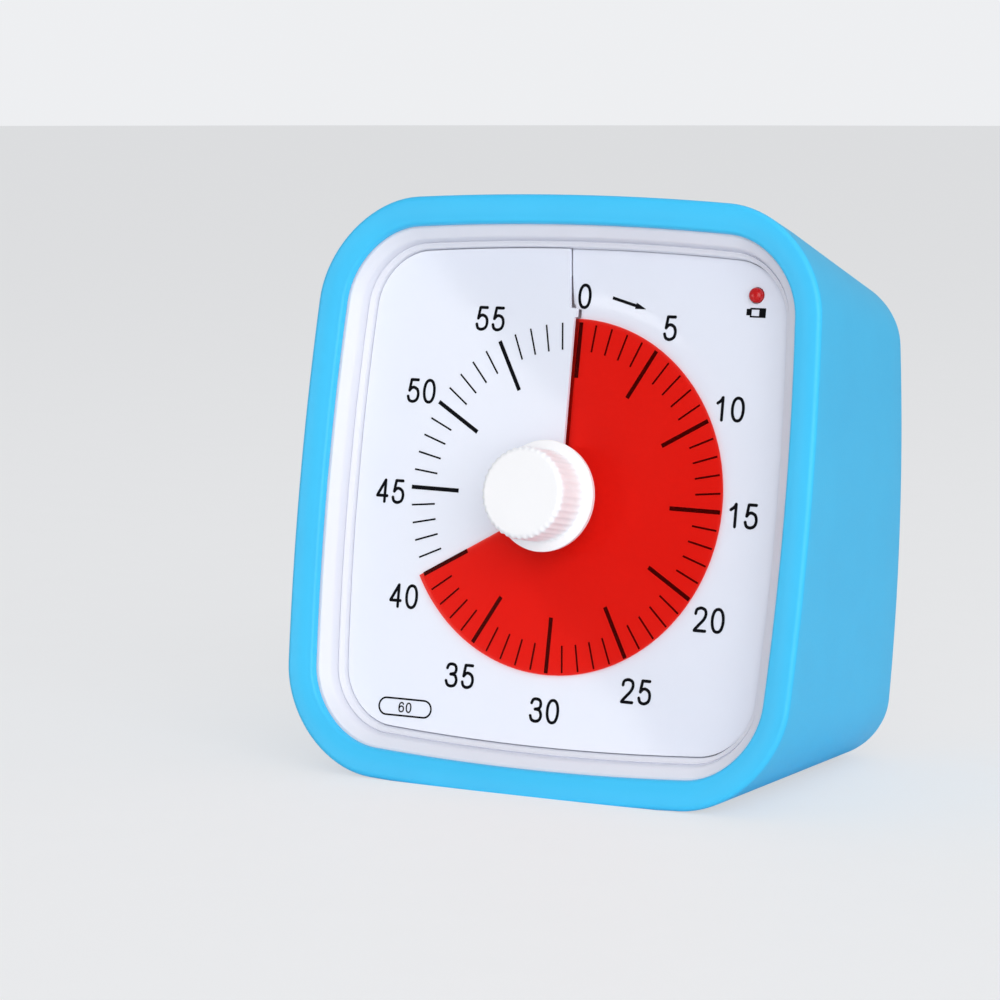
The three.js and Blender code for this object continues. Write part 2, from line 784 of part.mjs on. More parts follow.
// Motor: the silent drive, a sealed can behind the rear plate
const motorProfile = [
  [motorShaftRadius + gap, motorFront],
  [motorRadius, motorFront],
  [motorRadius, motorFront + motorLength],
  [0, motorFront + motorLength],
  [0, motorFront + motorBore],
  [motorShaftRadius + gap, motorFront + motorBore],
  [motorShaftRadius + gap, motorFront],
];
const motorMesh = add(face, 'motor', turned(motorProfile, roundSteps), steel);
motorMesh.position.set(firstDistance, 0, secondDistance);

// Screws: a head with a cross, and a plain shank that points to the front
function screw(name, headFront, headRadius, headHeight, shankRadius, shankFront, x, z) {
  const profile = [
    [0, shankFront],
    [shankRadius, shankFront],
    [shankRadius, headFront],
    [headRadius, headFront],
    [headRadius, headFront + headHeight / 2],
    [headRadius - headHeight / 3, headFront + headHeight],
    [0, headFront + headHeight],
  ];
  const crossFront = headFront + headHeight / 2;
  const long = crossLength * headRadius / screwHeadRadius;
  const cross = [[long, crossWidth], [crossWidth, long]].map(([width, height]) => {
    return block(width, crossFront, crossFront + overrun, height);
  });
  const mesh = add(face, name, surface(cut(solid(turned(profile, smallSteps)), cross)), steel);
  mesh.position.set(x, 0, z);
}

// Movement: two plates that hold the gear train, with four pillars on the front plate
const plateX = (plateLeft + plateRight) / 2;
const plateZ = (plateBottom + plateTop) / 2;
const plateWidth = plateRight - plateLeft;
const plateHeight = plateTop - plateBottom;
const pillarInset = pillarRadius + pivotRadius;
const screwHole = smallShank + gap;
const pillars = [plateLeft + pillarInset, plateRight - pillarInset].flatMap((x) => {
  return [plateBottom + pillarInset, plateTop - pillarInset].map((z) => [x, z]);
});
const pillarHoles = pillars.map(([x, z]) => [screwHole, x, z]);

function movementPlate(holes, front, back) {
  const outline = roundedRectangle(plateWidth, plateHeight, pillarInset, plateX, plateZ);
  return solid(plate(holed(outline, [...pillarHoles, ...holes]), front, back));
}

const frontHoles = [[shaftRadius + gap, 0, 0], [pivotRadius + gap, firstDistance, 0]];
const pillarTubes = pillars.map(([x, z]) => {
  return tube(pillarRadius, screwHole, frontPlateFront, rearPlateFront - gap, x, z);
});
const frontPlate = join(movementPlate(frontHoles, frontPlateFront, frontPlateBack), pillarTubes);
add(face, 'movement_front_plate', surface(frontPlate), acetal);

const posts = [-1, 1].map((side) => {
  return [boardX + side * (boardWidth / 2 - postInsetX), boardZ + side * (boardHeight / 2 - postInsetZ)];
});
const leafX = -camRadius - gap - leafThickness;
const leafPostX = leafX - gap - leafPostSize / 2;
const leafFront = centreBack + gap;
const leafBack = camBack - gap;
const leafTop = leafLength - leafPostSize;
const leafPostZ = leafTop - leafPostLength / 2;
const rearHoles = [
  [pivotRadius + gap, 0, 0],
  [pivotRadius + gap, firstDistance, 0],
  [motorShaftRadius + gap, firstDistance, secondDistance],
];
const rearPlate = join(movementPlate(rearHoles, rearPlateFront, rearPlateBack), [
  ...posts.map(([x, z]) => rod(postRadius, rearPlateFront, rearPlateBack + postLength, x, z)),
  block(leafPostSize, leafFront, rearPlateBack, leafPostLength, leafPostX, leafPostZ),
]);
const postHoles = posts.map(([x, z]) => rod(screwHole, rearPlateBack, boardFront + overrun, x, z));
add(face, 'movement_rear_plate', surface(cut(rearPlate, postHoles)), acetal);
pillars.forEach(([x, z], i) => {
  const name = `movement_screw_${i + 1}`;
  screw(name, rearPlateBack + gap, smallHeadRadius, smallHead, smallShank, deckBack - deckFloor / 2, x, z);
});

// Zero contacts: two spring leaves beside the cam of the centre wheel. At zero the notch
// lets the moving leaf close the sounder's circuit.
const leafZ = leafTop - leafLength / 2;
const movingLeaf = block(leafThickness, leafFront, leafBack, leafLength, leafX + leafThickness / 2, leafZ);
add(face, 'zero_contact_moving', movingLeaf, brass);
const fixedLeafX = leafPostX - leafPostSize / 2 - gap - leafThickness / 2;
const fixedLeafZ = leafTop - fixedLeafLength / 2;
const fixedLeaf = block(leafThickness, leafFront, leafBack, fixedLeafLength, fixedLeafX, fixedLeafZ);
add(face, 'zero_contact_fixed', fixedLeaf, brass);

// Circuit board on two posts of the rear plate, with its controller
const boardOutline = roundedRectangle(boardWidth, boardHeight, crossWidth, boardX, boardZ);
const boardHoles = posts.map(([x, z]) => [screwHole, x, z]);
add(face, 'circuit_board', plate(holed(boardOutline, boardHoles), boardFront, boardBack), boardGreen);
posts.forEach(([x, z], i) => {
  const name = `board_screw_${i + 1}`;
  screw(name, boardBack + gap, smallHeadRadius, smallHead, smallShank, rearPlateBack + 2 * gap, x, z);
});
const chipFront = boardBack + gap;
const chip = block(chipSize, chipFront, chipFront + chipThickness, chipSize, boardX, boardZ);
add(face, 'controller_chip', chip, darkPlastic);

// Dial deck: the frame behind the film. Its rim carries the sheet's edge, its recess clears
// the film, and its studs take the housing screws.
const deckOutline = section(cavityInset + gap, faceProud + deckBack);
const deckRings = [deckFront, deckBack].map((depth) => {
  return deckOutline.map((point) => point.clone().setY(depth));
});
const screwPlaces = [-screwX, screwX].flatMap((x) => [[x, upperScrewZ], [x, lowerScrewZ]]);
const studBack = deckBack + studLength;
const studs = screwPlaces.map(([x, z]) => rod(studRadius, deckFront, studBack, x, z));
const deckSolid = join(solid(loft(deckRings)), studs);
const studHoleFront = deckBack - deckFloor / 2;
const deckCuts = [
  rod(recessRadius, -overrun, recessFloor, 0, 0, roundSteps),
  rod(shaftRadius + gap, -overrun, deckBack + overrun),
  rod(lampRadius + gap, -overrun, deckBack + overrun, lampX, lampZ),
  rod(pivotRadius + gap, recessFloor + deckFloor / 2, deckBack + overrun, firstDistance, 0),
  ...pillars.map(([x, z]) => rod(screwHole, recessFloor + gap, deckBack + overrun, x, z)),
  ...screwPlaces.map(([x, z]) => rod(screwShank + gap, studHoleFront, studBack + overrun, x, z)),
];
add(face, 'dial_deck', surface(cut(deckSolid, deckCuts)), whitePlastic);

// Signal lamp: a round lens through the dial, with its flange behind the deck
const lampBase = deckBack + gap;
const lampDome = Array.from({ length: arcSteps + 1 }, (_, i) => {
  const angle = quarter * i / arcSteps;
  return [lampRadius * Math.sin(angle), -lampProud + lampProud * (1 - Math.cos(angle))];
});
const lampProfile = [
  ...lampDome,
  [lampRadius, lampBase],
  [lampRadius + 2 * lampFlange, lampBase],
  [lampRadius + 2 * lampFlange, lampBase + lampFlange],
  [0, lampBase + lampFlange],
];
const lampMesh = add(face, 'signal_lamp', turned(lampProfile), lampRed);
lampMesh.position.set(lampX, 0, lampZ);

// Frame of the back wall: y out of the back, z up along it, from the housing's outer face
rear.position.set(0, housingBack - faceProud, 0);
rear.rotation.x = backTilt;
rear.updateMatrix();
face.add(rear);
const fromRear = (geometry) => geometry.applyMatrix4(rear.matrix);

// Battery bay sizes, along the cell
const pocketLength = cellLength + cellNub + springLength + 2 * contactThickness + 5 * gap;
const cellDepth = -(doorThickness + gap + pocketClearance + cellRadius);
const pocketFloor = cellDepth - cellRadius - gap;
const doorLength = pocketLength + 2 * doorSeat;
const doorHeight = pocketHeight + 2 * doorSeat;
const doorSeatDepth = -doorThickness - gap;
const tagFront = pocketFloor - pocketWall - tagLength;
const negativeX = -pocketLength / 2 + gap + contactThickness / 2;
const springX = negativeX + contactThickness / 2 + gap;
const cellX = springX + springLength + gap;
const positiveX = pocketLength / 2 - gap - contactThickness / 2;

// Volume switch sizes, from the dish in the back wall inwards
const slotLength = sliderLength + 2 * (sliderTravel + gap);
const slotHeight = sliderHeight + 2 * gap;
const switchBack = -housingWall - gap;
const footLength = sliderLength + 2 * sliderFootMargin;
const footHeight = sliderHeight + 2 * sliderFootMargin;
const channelLength = footLength + 2 * (sliderTravel + gap);
const channelHeight = footHeight + 2 * gap;
const channelFloor = switchBack - sliderFoot - gap;

// Rear housing: a tapered tub with screw bosses, a battery bay, a ring for the sounder
// behind slots, and a dished slot for the volume slider
const housingFront = bezelJoint + gap / 2;
const outerProfile = [
  [caseInset, housingFront],
  ...arc(caseInset + housingRound, housingBack - housingRound, housingRound, quarter, 2 * quarter),
];
const innerRound = housingRound - housingWall / 2;
const innerBack = housingBack - housingWall - innerRound;
const cavityProfile = [
  [cavityInset, housingFront - overrun / 2],
  [cavityInset, housingFront],
  ...arc(cavityInset + innerRound, innerBack, innerRound, quarter, 2 * quarter, 2),
];
const outer = solid(loft(outerProfile.map(([inset, depth]) => section(inset, depth))));
const cavity = loft(cavityProfile.map(([inset, depth]) => section(inset, depth)));
const bossFront = studBack + gap;
const webBack = bossFront + bossWeb;
const bossSolids = screwPlaces.map(([x, z]) => rod(bossRadius, bossFront, bodyDepth + overrun, x, z));
const bay = block(
  pocketLength + 2 * pocketWall,
  pocketFloor - pocketWall,
  overrun,
  pocketHeight + 2 * pocketWall,
  0,
  cellZ,
);
const buzzerHolder = buzzerRadius + gap;
const ringFront = -housingWall - buzzerRingLength;
const inside = join(solid(fromRear(bay)), [
  ...bossSolids,
  fromRear(rod(buzzerHolder + buzzerRing, ringFront, overrun, buzzerX, buzzerZ, roundSteps)),
]).intersect(outer);
const tub = outer.subtract(solid(cavity)).add(inside);
const slots = Array.from({ length: grilleSlots }, (_, i) => {
  const z = buzzerZ + (i - (grilleSlots - 1) / 2) * grillePitch;
  return block(grilleLength, -housingWall - overrun, overrun, grilleSlotWidth, buzzerX, z);
});
const dishLength = slotLength + 2 * switchDishMargin;
const dishHeight = slotHeight + 2 * switchDishMargin;
const contactSlot = (x) => {
  const [width, height] = [contactThickness + 2 * gap, contactWidth + 2 * gap];
  return block(width, tagFront - overrun, pocketFloor + gap, height, x, cellZ);
};
const rearCuts = [
  block(pocketLength, pocketFloor, overrun, pocketHeight, 0, cellZ),
  block(doorLength + 2 * gap, doorSeatDepth, overrun, doorHeight + 2 * gap, 0, cellZ),
  contactSlot(negativeX),
  contactSlot(positiveX),
  rod(buzzerHolder, ringFront - overrun, -housingWall, buzzerX, buzzerZ, roundSteps),
  ...slots,
  block(slotLength, -housingWall - gap, overrun, slotHeight, switchX, switchZ),
  block(dishLength, -switchDish, overrun, dishHeight, switchX, switchZ),
].map(fromRear);
const screwCuts = screwPlaces.flatMap(([x, z]) => [
  rod(screwHeadRadius + gap, webBack, bodyDepth + overrun, x, z),
  rod(screwShank + gap, bossFront - overrun, webBack + gap, x, z),
]);
add(face, 'rear_housing', surface(cut(tub, [...rearCuts, ...screwCuts])), whitePlastic);
screwPlaces.forEach(([x, z], i) => {
  const name = `housing_screw_${i + 1}`;
  const headFront = webBack + gap;
  screw(name, headFront, screwHeadRadius, screwHead, screwShank, headFront - screwLength, x, z);
});

// Battery door: a flat lid that snaps into its seat, flush with the back wall
const doorShape = roundedRectangle(doorLength, doorHeight, doorThickness / 2, 0, cellZ);
add(rear, 'battery_door', plate(doorShape, -doorThickness, 0), whitePlastic);

// Cell: a standard penlight cell lying across the bay, with its nub to the right
const cellProfile = [
  [0, 0],
  [cellRadius - contactThickness, 0],
  [cellRadius, contactThickness],
  [cellRadius, cellLength - contactThickness],
  [cellRadius - contactThickness, cellLength],
  [cellNubRadius, cellLength],
  [cellNubRadius, cellLength + cellNub],
  [0, cellLength + cellNub],
];
const cellBody = turned(cellProfile, smallSteps).rotateZ(-quarter);
const cellMesh = add(rear, 'battery_cell', cellBody, cellJacket);
cellMesh.position.set(cellX, cellDepth, cellZ);

// Contacts: two plates in the ends of the bay, with tags through its floor, and the coil
// spring that presses the cell
const contactBack = cellDepth + cellRadius - gap;
[['negative_contact', negativeX], ['positive_contact', positiveX]].forEach(([name, x]) => {
  add(rear, name, block(contactThickness, tagFront, contactBack, contactWidth, x, cellZ), brass);
});

class Helix extends THREE.Curve {
  getPoint(t) {
    const angle = fullTurn * springTurns * t;
    const x = springX + springWire / 2 + (springLength - springWire) * t;
    const [sideways, up] = [springRadius * Math.cos(angle), springRadius * Math.sin(angle)];
    return new THREE.Vector3(x, cellDepth + sideways, cellZ + up);
  }
}

function wire(radius, sides, curve, steps) {
  const shape = new THREE.Shape().absarc(0, 0, radius, 0, fullTurn);
  return new THREE.ExtrudeGeometry(shape, { steps, curveSegments: sides / 2, extrudePath: curve });
}

const springBody = wire(springWire / 2, leadSides, new Helix(), springTurns * springSteps);
add(rear, 'negative_spring', springBody, steel);

// Sounder behind the slots
add(rear, 'buzzer', rod(
  buzzerRadius,
  -housingWall - gap - buzzerHeight,
  -housingWall - gap,
  buzzerX,
  buzzerZ,
  roundSteps,
), darkPlastic);

// Volume switch: a box with a channel, and the slider whose button shows in the dish
const switchFront = switchBack - switchDepth;
const switchBox = solid(block(switchLength, switchFront, switchBack, switchHeight, switchX, switchZ));
const channel = block(channelLength, channelFloor, switchBack + overrun, channelHeight, switchX, switchZ);
add(rear, 'volume_switch', surface(cut(switchBox, [channel])), darkPlastic);
const foot = solid(block(footLength, channelFloor + gap, switchBack, footHeight, switchX, switchZ));
const buttonBack = sliderProud - switchDish;
const button = block(sliderLength, channelFloor + gap, buttonBack, sliderHeight, switchX, switchZ);
add(rear, 'volume_slider', surface(join(foot, [button])), darkPlastic);

// Leads inside the case. Each leaves its start along the depth, passes its waypoints and lands
// square on the back of the circuit board, at shares of the board's half width and half height.
function lead(name, material, start, way, [shareX, shareZ], waypoints) {
  const landX = boardX + shareX * boardWidth / 2;
  const landZ = boardZ + shareZ * boardHeight / 2;
  const leave = start.clone().setY(start.y + way * leadStub);
  const land = new THREE.Vector3(landX, boardBack + gap, landZ);
  const arrive = land.clone().setY(land.y + leadStub);
  const between = waypoints ?? [leave.clone().lerp(arrive, 1 / 2)];
  const curve = new THREE.CatmullRomCurve3([start, leave, ...between, arrive, land]);
  const steps = Math.ceil(curve.getLength() / leadStep);
  add(face, name, wire(leadRadius, leadSides, curve, steps), material);
}

const inRear = (x, y, z) => new THREE.Vector3(x, y, z).applyMatrix4(rear.matrix);
const negativeTag = inRear(negativeX, tagFront - gap, cellZ);
const positiveTag = inRear(positiveX, tagFront - gap, cellZ);
const buzzerTag = inRear(buzzerX, -housingWall - 2 * gap - buzzerHeight, buzzerZ);
const switchTag = inRear(switchX, switchFront - gap, switchZ);
const motorTag = new THREE.Vector3(firstDistance, motorFront + motorLength + gap, secondDistance);
const motorWay = [
  new THREE.Vector3(firstDistance / 2, motorTag.y + leadRadius, secondDistance - arborRadius),
];
const lampTag = new THREE.Vector3(lampX, lampBase + lampFlange + gap, lampZ);
const lampSide = screwX + 2 * bossRadius;
const lampBehind = boardBack + 1.5 * bossRadius;
const lampWay = [
  new THREE.Vector3(lampSide, (lampBase + boardBack) / 2, upperScrewZ),
  new THREE.Vector3(lampSide, boardBack, upperScrewZ - bossRadius),
  new THREE.Vector3(screwX, lampBehind, upperScrewZ - 1.5 * bossRadius),
  new THREE.Vector3(screwX / 2, lampBehind, plateTop),
  new THREE.Vector3(0, boardBack + bossRadius, plateTop - pillarRadius),
];
lead('battery_lead_black', leadBlack, negativeTag, -1, [-0.76, -0.8]);
lead('battery_lead_red', leadRed, positiveTag, -1, [0.7, -0.8]);
lead('buzzer_lead', leadBlack, buzzerTag, -1, [-0.6, 0.4]);
lead('switch_lead', leadBlack, switchTag, -1, [0.75, -0.25]);
lead('motor_lead', leadRed, motorTag, 1, [0.5, 0.1], motorWay);
lead('lamp_lead', leadRed, lampTag, 1, [0, 0.78], lampWay);

// Stand the timer on its underside: lean it back, rest it on z = 0 and centre its box
face.rotation.x = -lean;
face.position.z = faceHeight / 2 * Math.cos(lean) - faceProud * Math.sin(lean) - restLand;
const timer = new THREE.Group();
timer.add(face);
timer.updateMatrixWorld(true);
const box = new THREE.Box3().setFromObject(timer, true);
face.position.x = -(box.min.x + box.max.x) / 2;
face.position.y = -(box.min.y + box.max.y) / 2;

export default timer;
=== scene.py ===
import json
import math

import bpy
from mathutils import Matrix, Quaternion, Vector


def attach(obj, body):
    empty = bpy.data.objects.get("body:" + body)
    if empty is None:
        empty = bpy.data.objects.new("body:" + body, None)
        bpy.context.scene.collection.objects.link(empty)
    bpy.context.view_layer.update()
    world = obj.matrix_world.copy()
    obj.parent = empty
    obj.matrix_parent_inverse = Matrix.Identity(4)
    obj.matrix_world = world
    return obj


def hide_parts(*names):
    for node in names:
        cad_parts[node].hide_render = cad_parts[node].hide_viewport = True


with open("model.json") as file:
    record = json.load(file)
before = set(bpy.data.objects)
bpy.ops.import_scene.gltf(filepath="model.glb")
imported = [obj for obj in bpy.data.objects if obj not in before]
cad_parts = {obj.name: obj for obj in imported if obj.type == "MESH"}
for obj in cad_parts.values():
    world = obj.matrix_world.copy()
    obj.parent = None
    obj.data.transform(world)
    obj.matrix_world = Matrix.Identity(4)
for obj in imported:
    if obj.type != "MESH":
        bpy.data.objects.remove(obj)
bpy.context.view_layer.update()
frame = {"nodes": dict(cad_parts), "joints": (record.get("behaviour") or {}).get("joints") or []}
solids = frame["nodes"]

# Viewpoint and studio: a pale table and wall, a wide window to the front right, a small one that
# the left of the dial mirrors, and soft light from above. Places are in the dial's own frame, in
# millimetres: x right, y into the case, z up along the dial.
setting_axis = next(joint for joint in frame["joints"] if joint["name"] == "knob_turn")
dial_centre = Vector(setting_axis["pos_m"])
inward = Vector(setting_axis["axis"]).normalized()
upward = Vector((0, -inward.z, inward.y))


def at_dial(x, y, z):
    return dial_centre + (Vector((x, 0, 0)) + y * inward + z * upward) / 1000


eye_from_dial = Vector((0.31087, -0.55417, 0.07352))
eye_turn = (math.radians(83.375), 0, math.radians(30.217))
bpy.ops.object.select_all(action="DESELECT")
bpy.ops.object.camera_add(location=dial_centre + eye_from_dial, rotation=eye_turn)
eye = bpy.context.object
eye.name = "eye"
eye.data.sensor_width = 36
eye.data.lens = 138.12
eye.data.clip_start = 0.01
eye.data.clip_end = 20
eye.data.dof.use_dof = False
bpy.context.scene.camera = eye


def soft_lamp(name, place, aim, width, height, watts, tint, roll=0):
    bpy.ops.object.light_add(type="AREA", location=place)
    lamp = bpy.context.object
    lamp.name = name
    rolled = Quaternion((0, 0, 1), math.radians(roll))
    lamp.rotation_euler = ((aim - place).to_track_quat("-Z", "Y") @ rolled).to_euler()
    lamp.data.shape = "RECTANGLE"
    lamp.data.size = width
    lamp.data.size_y = height
    lamp.data.energy = watts
    lamp.data.color = tint
    return lamp


glare_place, glare_aim = at_dial(-560, -600, -101), at_dial(-560, 0, -101)
window_glare = soft_lamp("window_glare", glare_place, glare_aim, 0.5, 0.5, 2, (1, 1, 1), 34.7)
window_glare.visible_diffuse = False
soft_lamp("wide_window", at_dial(800, -900, 150), dial_centre, 1.2, 1.2, 12.3, (1, 0.99, 0.98))
soft_lamp("sky_light", Vector((0.15, 0.05, 0.95)), dial_centre, 1.1, 1.1, 1.5, (0.97, 0.99, 1))

world = bpy.data.worlds.new("room")
world.use_nodes = True
bpy.context.scene.world = world
room = world.node_tree.nodes
join_room = world.node_tree.links.new
seen = room.new("ShaderNodeBackground")
seen.inputs["Color"].default_value = (0.9, 0.91, 0.93, 1)
seen.inputs["Strength"].default_value = 0.95
lit = room["Background"]
lit.inputs["Color"].default_value = (0.95, 0.97, 1, 1)
lit.inputs["Strength"].default_value = 0.45
path = room.new("ShaderNodeLightPath")
direct = room.new("ShaderNodeMath")
direct.operation = "MAXIMUM"
either = room.new("ShaderNodeMixShader")
join_room(path.outputs["Is Camera Ray"], direct.inputs[0])
join_room(path.outputs["Is Transmission Ray"], direct.inputs[1])
join_room(direct.outputs[0], either.inputs[0])
join_room(lit.outputs[0], either.inputs[1])
join_room(seen.outputs[0], either.inputs[2])
join_room(either.outputs[0], room["World Output"].inputs["Surface"])
bpy.context.scene.view_settings.view_transform = "Standard"


def tone(red, green, blue):
    parts = [part / 255 for part in (red, green, blue)]
    return [part / 12.92 if part <= 0.04045 else ((part + 0.055) / 1.055) ** 2.4 for part in parts] + [1]


cloud_scale, gloss_spread = 70, 0.05


def surface(
        name, colour, rough, grain_mm=0.25, relief_mm=0.006, mottle=0.04,
        metal=0, coat=0, stretch=(1, 1, 1), gleam=0.5):
    """A plain material with its faint cloudiness, its moulded or drawn grain and its uneven gloss."""
    material = bpy.data.materials.new(name)
    material.use_nodes = True
    nodes = material.node_tree.nodes
    link = material.node_tree.links.new
    shader = nodes["Principled BSDF"]
    shader.inputs["Metallic"].default_value = metal
    shader.inputs["Specular IOR Level"].default_value = gleam
    shader.inputs["Coat Weight"].default_value = coat
    shader.inputs["Coat Roughness"].default_value = 0.08
    place = nodes.new("ShaderNodeTexCoord")
    turned = nodes.new("ShaderNodeMapping")
    turned.inputs["Scale"].default_value = stretch
    link(place.outputs["Object"], turned.inputs["Vector"])
    cloud = nodes.new("ShaderNodeTexNoise")
    cloud.inputs["Scale"].default_value = cloud_scale
    cloud.inputs["Detail"].default_value = 3
    link(place.outputs["Object"], cloud.inputs["Vector"])
    shades = nodes.new("ShaderNodeValToRGB")
    shades.color_ramp.elements[0].position = 0.3
    shades.color_ramp.elements[0].color = [part * (1 - mottle) for part in colour[:3]] + [1]
    shades.color_ramp.elements[1].position = 0.7
    shades.color_ramp.elements[1].color = [min(part * (1 + mottle / 2), 1) for part in colour[:3]] + [1]
    link(cloud.outputs["Fac"], shades.inputs["Fac"])
    link(shades.outputs["Color"], shader.inputs["Base Color"])
    grain = nodes.new("ShaderNodeTexNoise")
    grain.inputs["Scale"].default_value = 1000 / grain_mm
    grain.inputs["Detail"].default_value = 2
    link(turned.outputs["Vector"], grain.inputs["Vector"])
    gloss = nodes.new("ShaderNodeMapRange")
    gloss.inputs["To Min"].default_value = max(rough - gloss_spread, 0.02)
    gloss.inputs["To Max"].default_value = rough + gloss_spread
    link(grain.outputs["Fac"], gloss.inputs["Value"])
    link(gloss.outputs["Result"], shader.inputs["Roughness"])
    relief = nodes.new("ShaderNodeBump")
    relief.inputs["Distance"].default_value = relief_mm / 1000
    relief.inputs["Strength"].default_value = 0.6
    link(grain.outputs["Fac"], relief.inputs["Height"])
    link(relief.outputs["Normal"], shader.inputs["Normal"])
    return material


table_radius, ring_width, ring_count = 6, 1.2, 4
bpy.ops.mesh.primitive_circle_add(vertices=96, radius=table_radius, fill_type="NGON", location=(0, 0, 0))
table_top = bpy.context.object
table_top.name = "table_top"
bpy.ops.object.mode_set(mode="EDIT")
for _ in range(ring_count):
    bpy.ops.mesh.inset(thickness=ring_width, depth=0)
bpy.ops.object.mode_set(mode="OBJECT")
pale_table = surface("pale_table", [0.84, 0.85, 0.87, 1], 0.6, 2, 0.01, 0.01)
haze = pale_table.node_tree.nodes.new("ShaderNodeEmission")
haze.inputs["Color"].default_value = (0.93, 0.935, 0.945, 1)
table_seen = pale_table.node_tree.nodes.new("ShaderNodeLightPath")
haze_share = pale_table.node_tree.nodes.new("ShaderNodeMath")
haze_share.operation = "MULTIPLY"
haze_share.inputs[1].default_value = 0.62
hazed = pale_table.node_tree.nodes.new("ShaderNodeMixShader")
join_table = pale_table.node_tree.links.new
join_table(table_seen.outputs["Is Camera Ray"], haze_share.inputs[0])
join_table(haze_share.outputs[0], hazed.inputs["Fac"])
join_table(pale_table.node_tree.nodes["Principled BSDF"].outputs[0], hazed.inputs[1])
join_table(haze.outputs[0], hazed.inputs[2])
join_table(hazed.outputs[0], pale_table.node_tree.nodes["Material Output"].inputs["Surface"])
table_top.data.materials.append(pale_table)

# Silicone sleeve: a soft pale blue jacket, moulded in one piece and stretched over the case. It
# has a crowned lip over the bezel, a rounded back edge, and a matte, faintly silky skin.
face_width, face_height, body_depth, face_proud = 97.2, 100.7, 57.5, 6.1
front_corner, back_corner, side_bow, case_joint = 17.8, 9.5, 0.042, 10.2
lean, back_tilt = math.radians(9.65), math.radians(7)
side_draft, top_draft = math.tan(math.radians(8.5)), math.tan(math.radians(7.6))
jacket_wall, clearance = 2, 0.3
back_wedge = math.tan(back_tilt) / (body_depth - jacket_wall - clearance - case_joint)
corner_steps, side_steps = 20, 14


def outline(inset, depth):
    """The body's outline at a depth behind its front rim, drawn in by an inset, in the dial's frame."""
    half = face_width / 2 - depth * side_draft - inset
    top = face_height / 2 - depth * top_draft - inset
    behind = max(depth - case_joint, 0)
    at_joint = face_height / 2 - min(depth, case_joint) * math.tan(lean)
    drop = math.tan(lean) * behind
    bottom = at_joint - drop * (1 + back_wedge * at_joint) / (1 + drop * back_wedge) - inset
    corner = front_corner - (front_corner - back_corner) * depth / body_depth - inset
    middle, tall = (top - bottom) / 2, (top + bottom) / 2
    points = []
    for quarter, (side, rise) in enumerate(((1, 1), (-1, 1), (-1, -1), (1, -1))):
        x = side * (half - corner)
        z = top - corner if rise > 0 else corner - bottom
        for step in range(corner_steps + 1):
            angle = (quarter + step / corner_steps) * math.pi / 2
            points.append((x + corner * math.cos(angle), z + corner * math.sin(angle)))
    whole = []
    for k, (x, z) in enumerate(points):
        whole.append((x, z))
        if (k + 1) % (corner_steps + 1) == 0:
            to_x, to_z = points[(k + 1) % len(points)]
            for step in range(1, side_steps):
                whole.append((x + (to_x - x) * step / side_steps, z + (to_z - z) * step / side_steps))
    bowed = []
    for x, z in whole:
        bow_x = x * (1 - side_bow * ((z - middle) / tall) ** 2)
        bow_z = middle + (z - middle) * (1 - side_bow * (x / half) ** 2)
        bowed.append((bow_x, depth - face_proud - behind * back_wedge * bow_z, bow_z))
    return bowed


def bend(inset, depth, radius, start, end, steps):
    """A rounded edge as insets and depths, from one angle to another in degrees."""
    angles = [math.radians(start + (end - start) * step / steps) for step in range(steps + 1)]
    return [(inset - radius * math.sin(angle), depth - radius * math.cos(angle)) for angle in angles]


def drawn_round(name, rings, closed):
    """A circle is extruded once for each further ring of points, and each ring is then laid in its place."""
    count = len(rings[0])
    bpy.ops.object.select_all(action="DESELECT")
    bpy.ops.mesh.primitive_circle_add(vertices=count, radius=0.04, location=(0, 0, 0))
    piece = bpy.context.object
    piece.name = name
    bpy.ops.object.mode_set(mode="EDIT")
    for _ in rings[1:]:
        bpy.ops.mesh.extrude_region_move()
    bpy.ops.object.mode_set(mode="OBJECT")
    for vertex, point in zip(piece.data.vertices, [point for ring in rings for point in ring]):
        vertex.co = at_dial(*point)
    bpy.ops.object.mode_set(mode="EDIT")
    bpy.ops.mesh.select_mode(type="EDGE")
    bpy.ops.mesh.select_all(action="DESELECT")
    bpy.ops.mesh.select_non_manifold()
    if closed:
        bpy.ops.mesh.bridge_edge_loops()
    else:
        bpy.ops.mesh.edge_face_add()
    bpy.ops.mesh.select_all(action="SELECT")
    bpy.ops.mesh.remove_doubles(threshold=0.000002)
    bpy.ops.mesh.normals_make_consistent(inside=False)
    bpy.ops.object.mode_set(mode="OBJECT")
    return piece


def smoothed(piece, angle=32):
    bpy.ops.object.select_all(action="DESELECT")
    piece.select_set(True)
    bpy.context.view_layer.objects.active = piece
    bpy.ops.object.shade_smooth_by_angle(angle=math.radians(angle))


lip_width, lip_edge, crown_width, crown_rise, rim_round = 4.2, 0.6, 2.6, 0.45, 1
back_lip, back_edge, back_round, hollow_round = 7, 0.4, 5, 3.5
lip_back = crown_rise + 2 * lip_edge
crown_steps = 6
sleeve_section = bend(lip_width, crown_rise + lip_edge, lip_edge, -90, 0, 6)
for step in range(1, crown_steps + 1):
    part = step / crown_steps
    sleeve_section.append((lip_width - crown_width * part, crown_rise * (1 - part) ** 2))
sleeve_section += bend(rim_round, rim_round, rim_round, 0, 90, 8)
sleeve_section += [(0, depth) for depth in (3, case_joint, 20, 32, 44.5)]
sleeve_section += bend(back_round, body_depth - back_round, back_round, 90, 180, 10)
sleeve_section += bend(back_lip - back_edge, body_depth - back_edge, back_edge, 180, 270, 3)
sleeve_section += [(back_lip, body_depth - jacket_wall)]
hollow_inset, hollow_depth = jacket_wall + hollow_round, body_depth - jacket_wall - hollow_round
sleeve_section += bend(hollow_inset, hollow_depth, hollow_round, 180, 90, 6)
sleeve_section += [(jacket_wall, 32), (jacket_wall, case_joint), (jacket_wall, lip_back)]
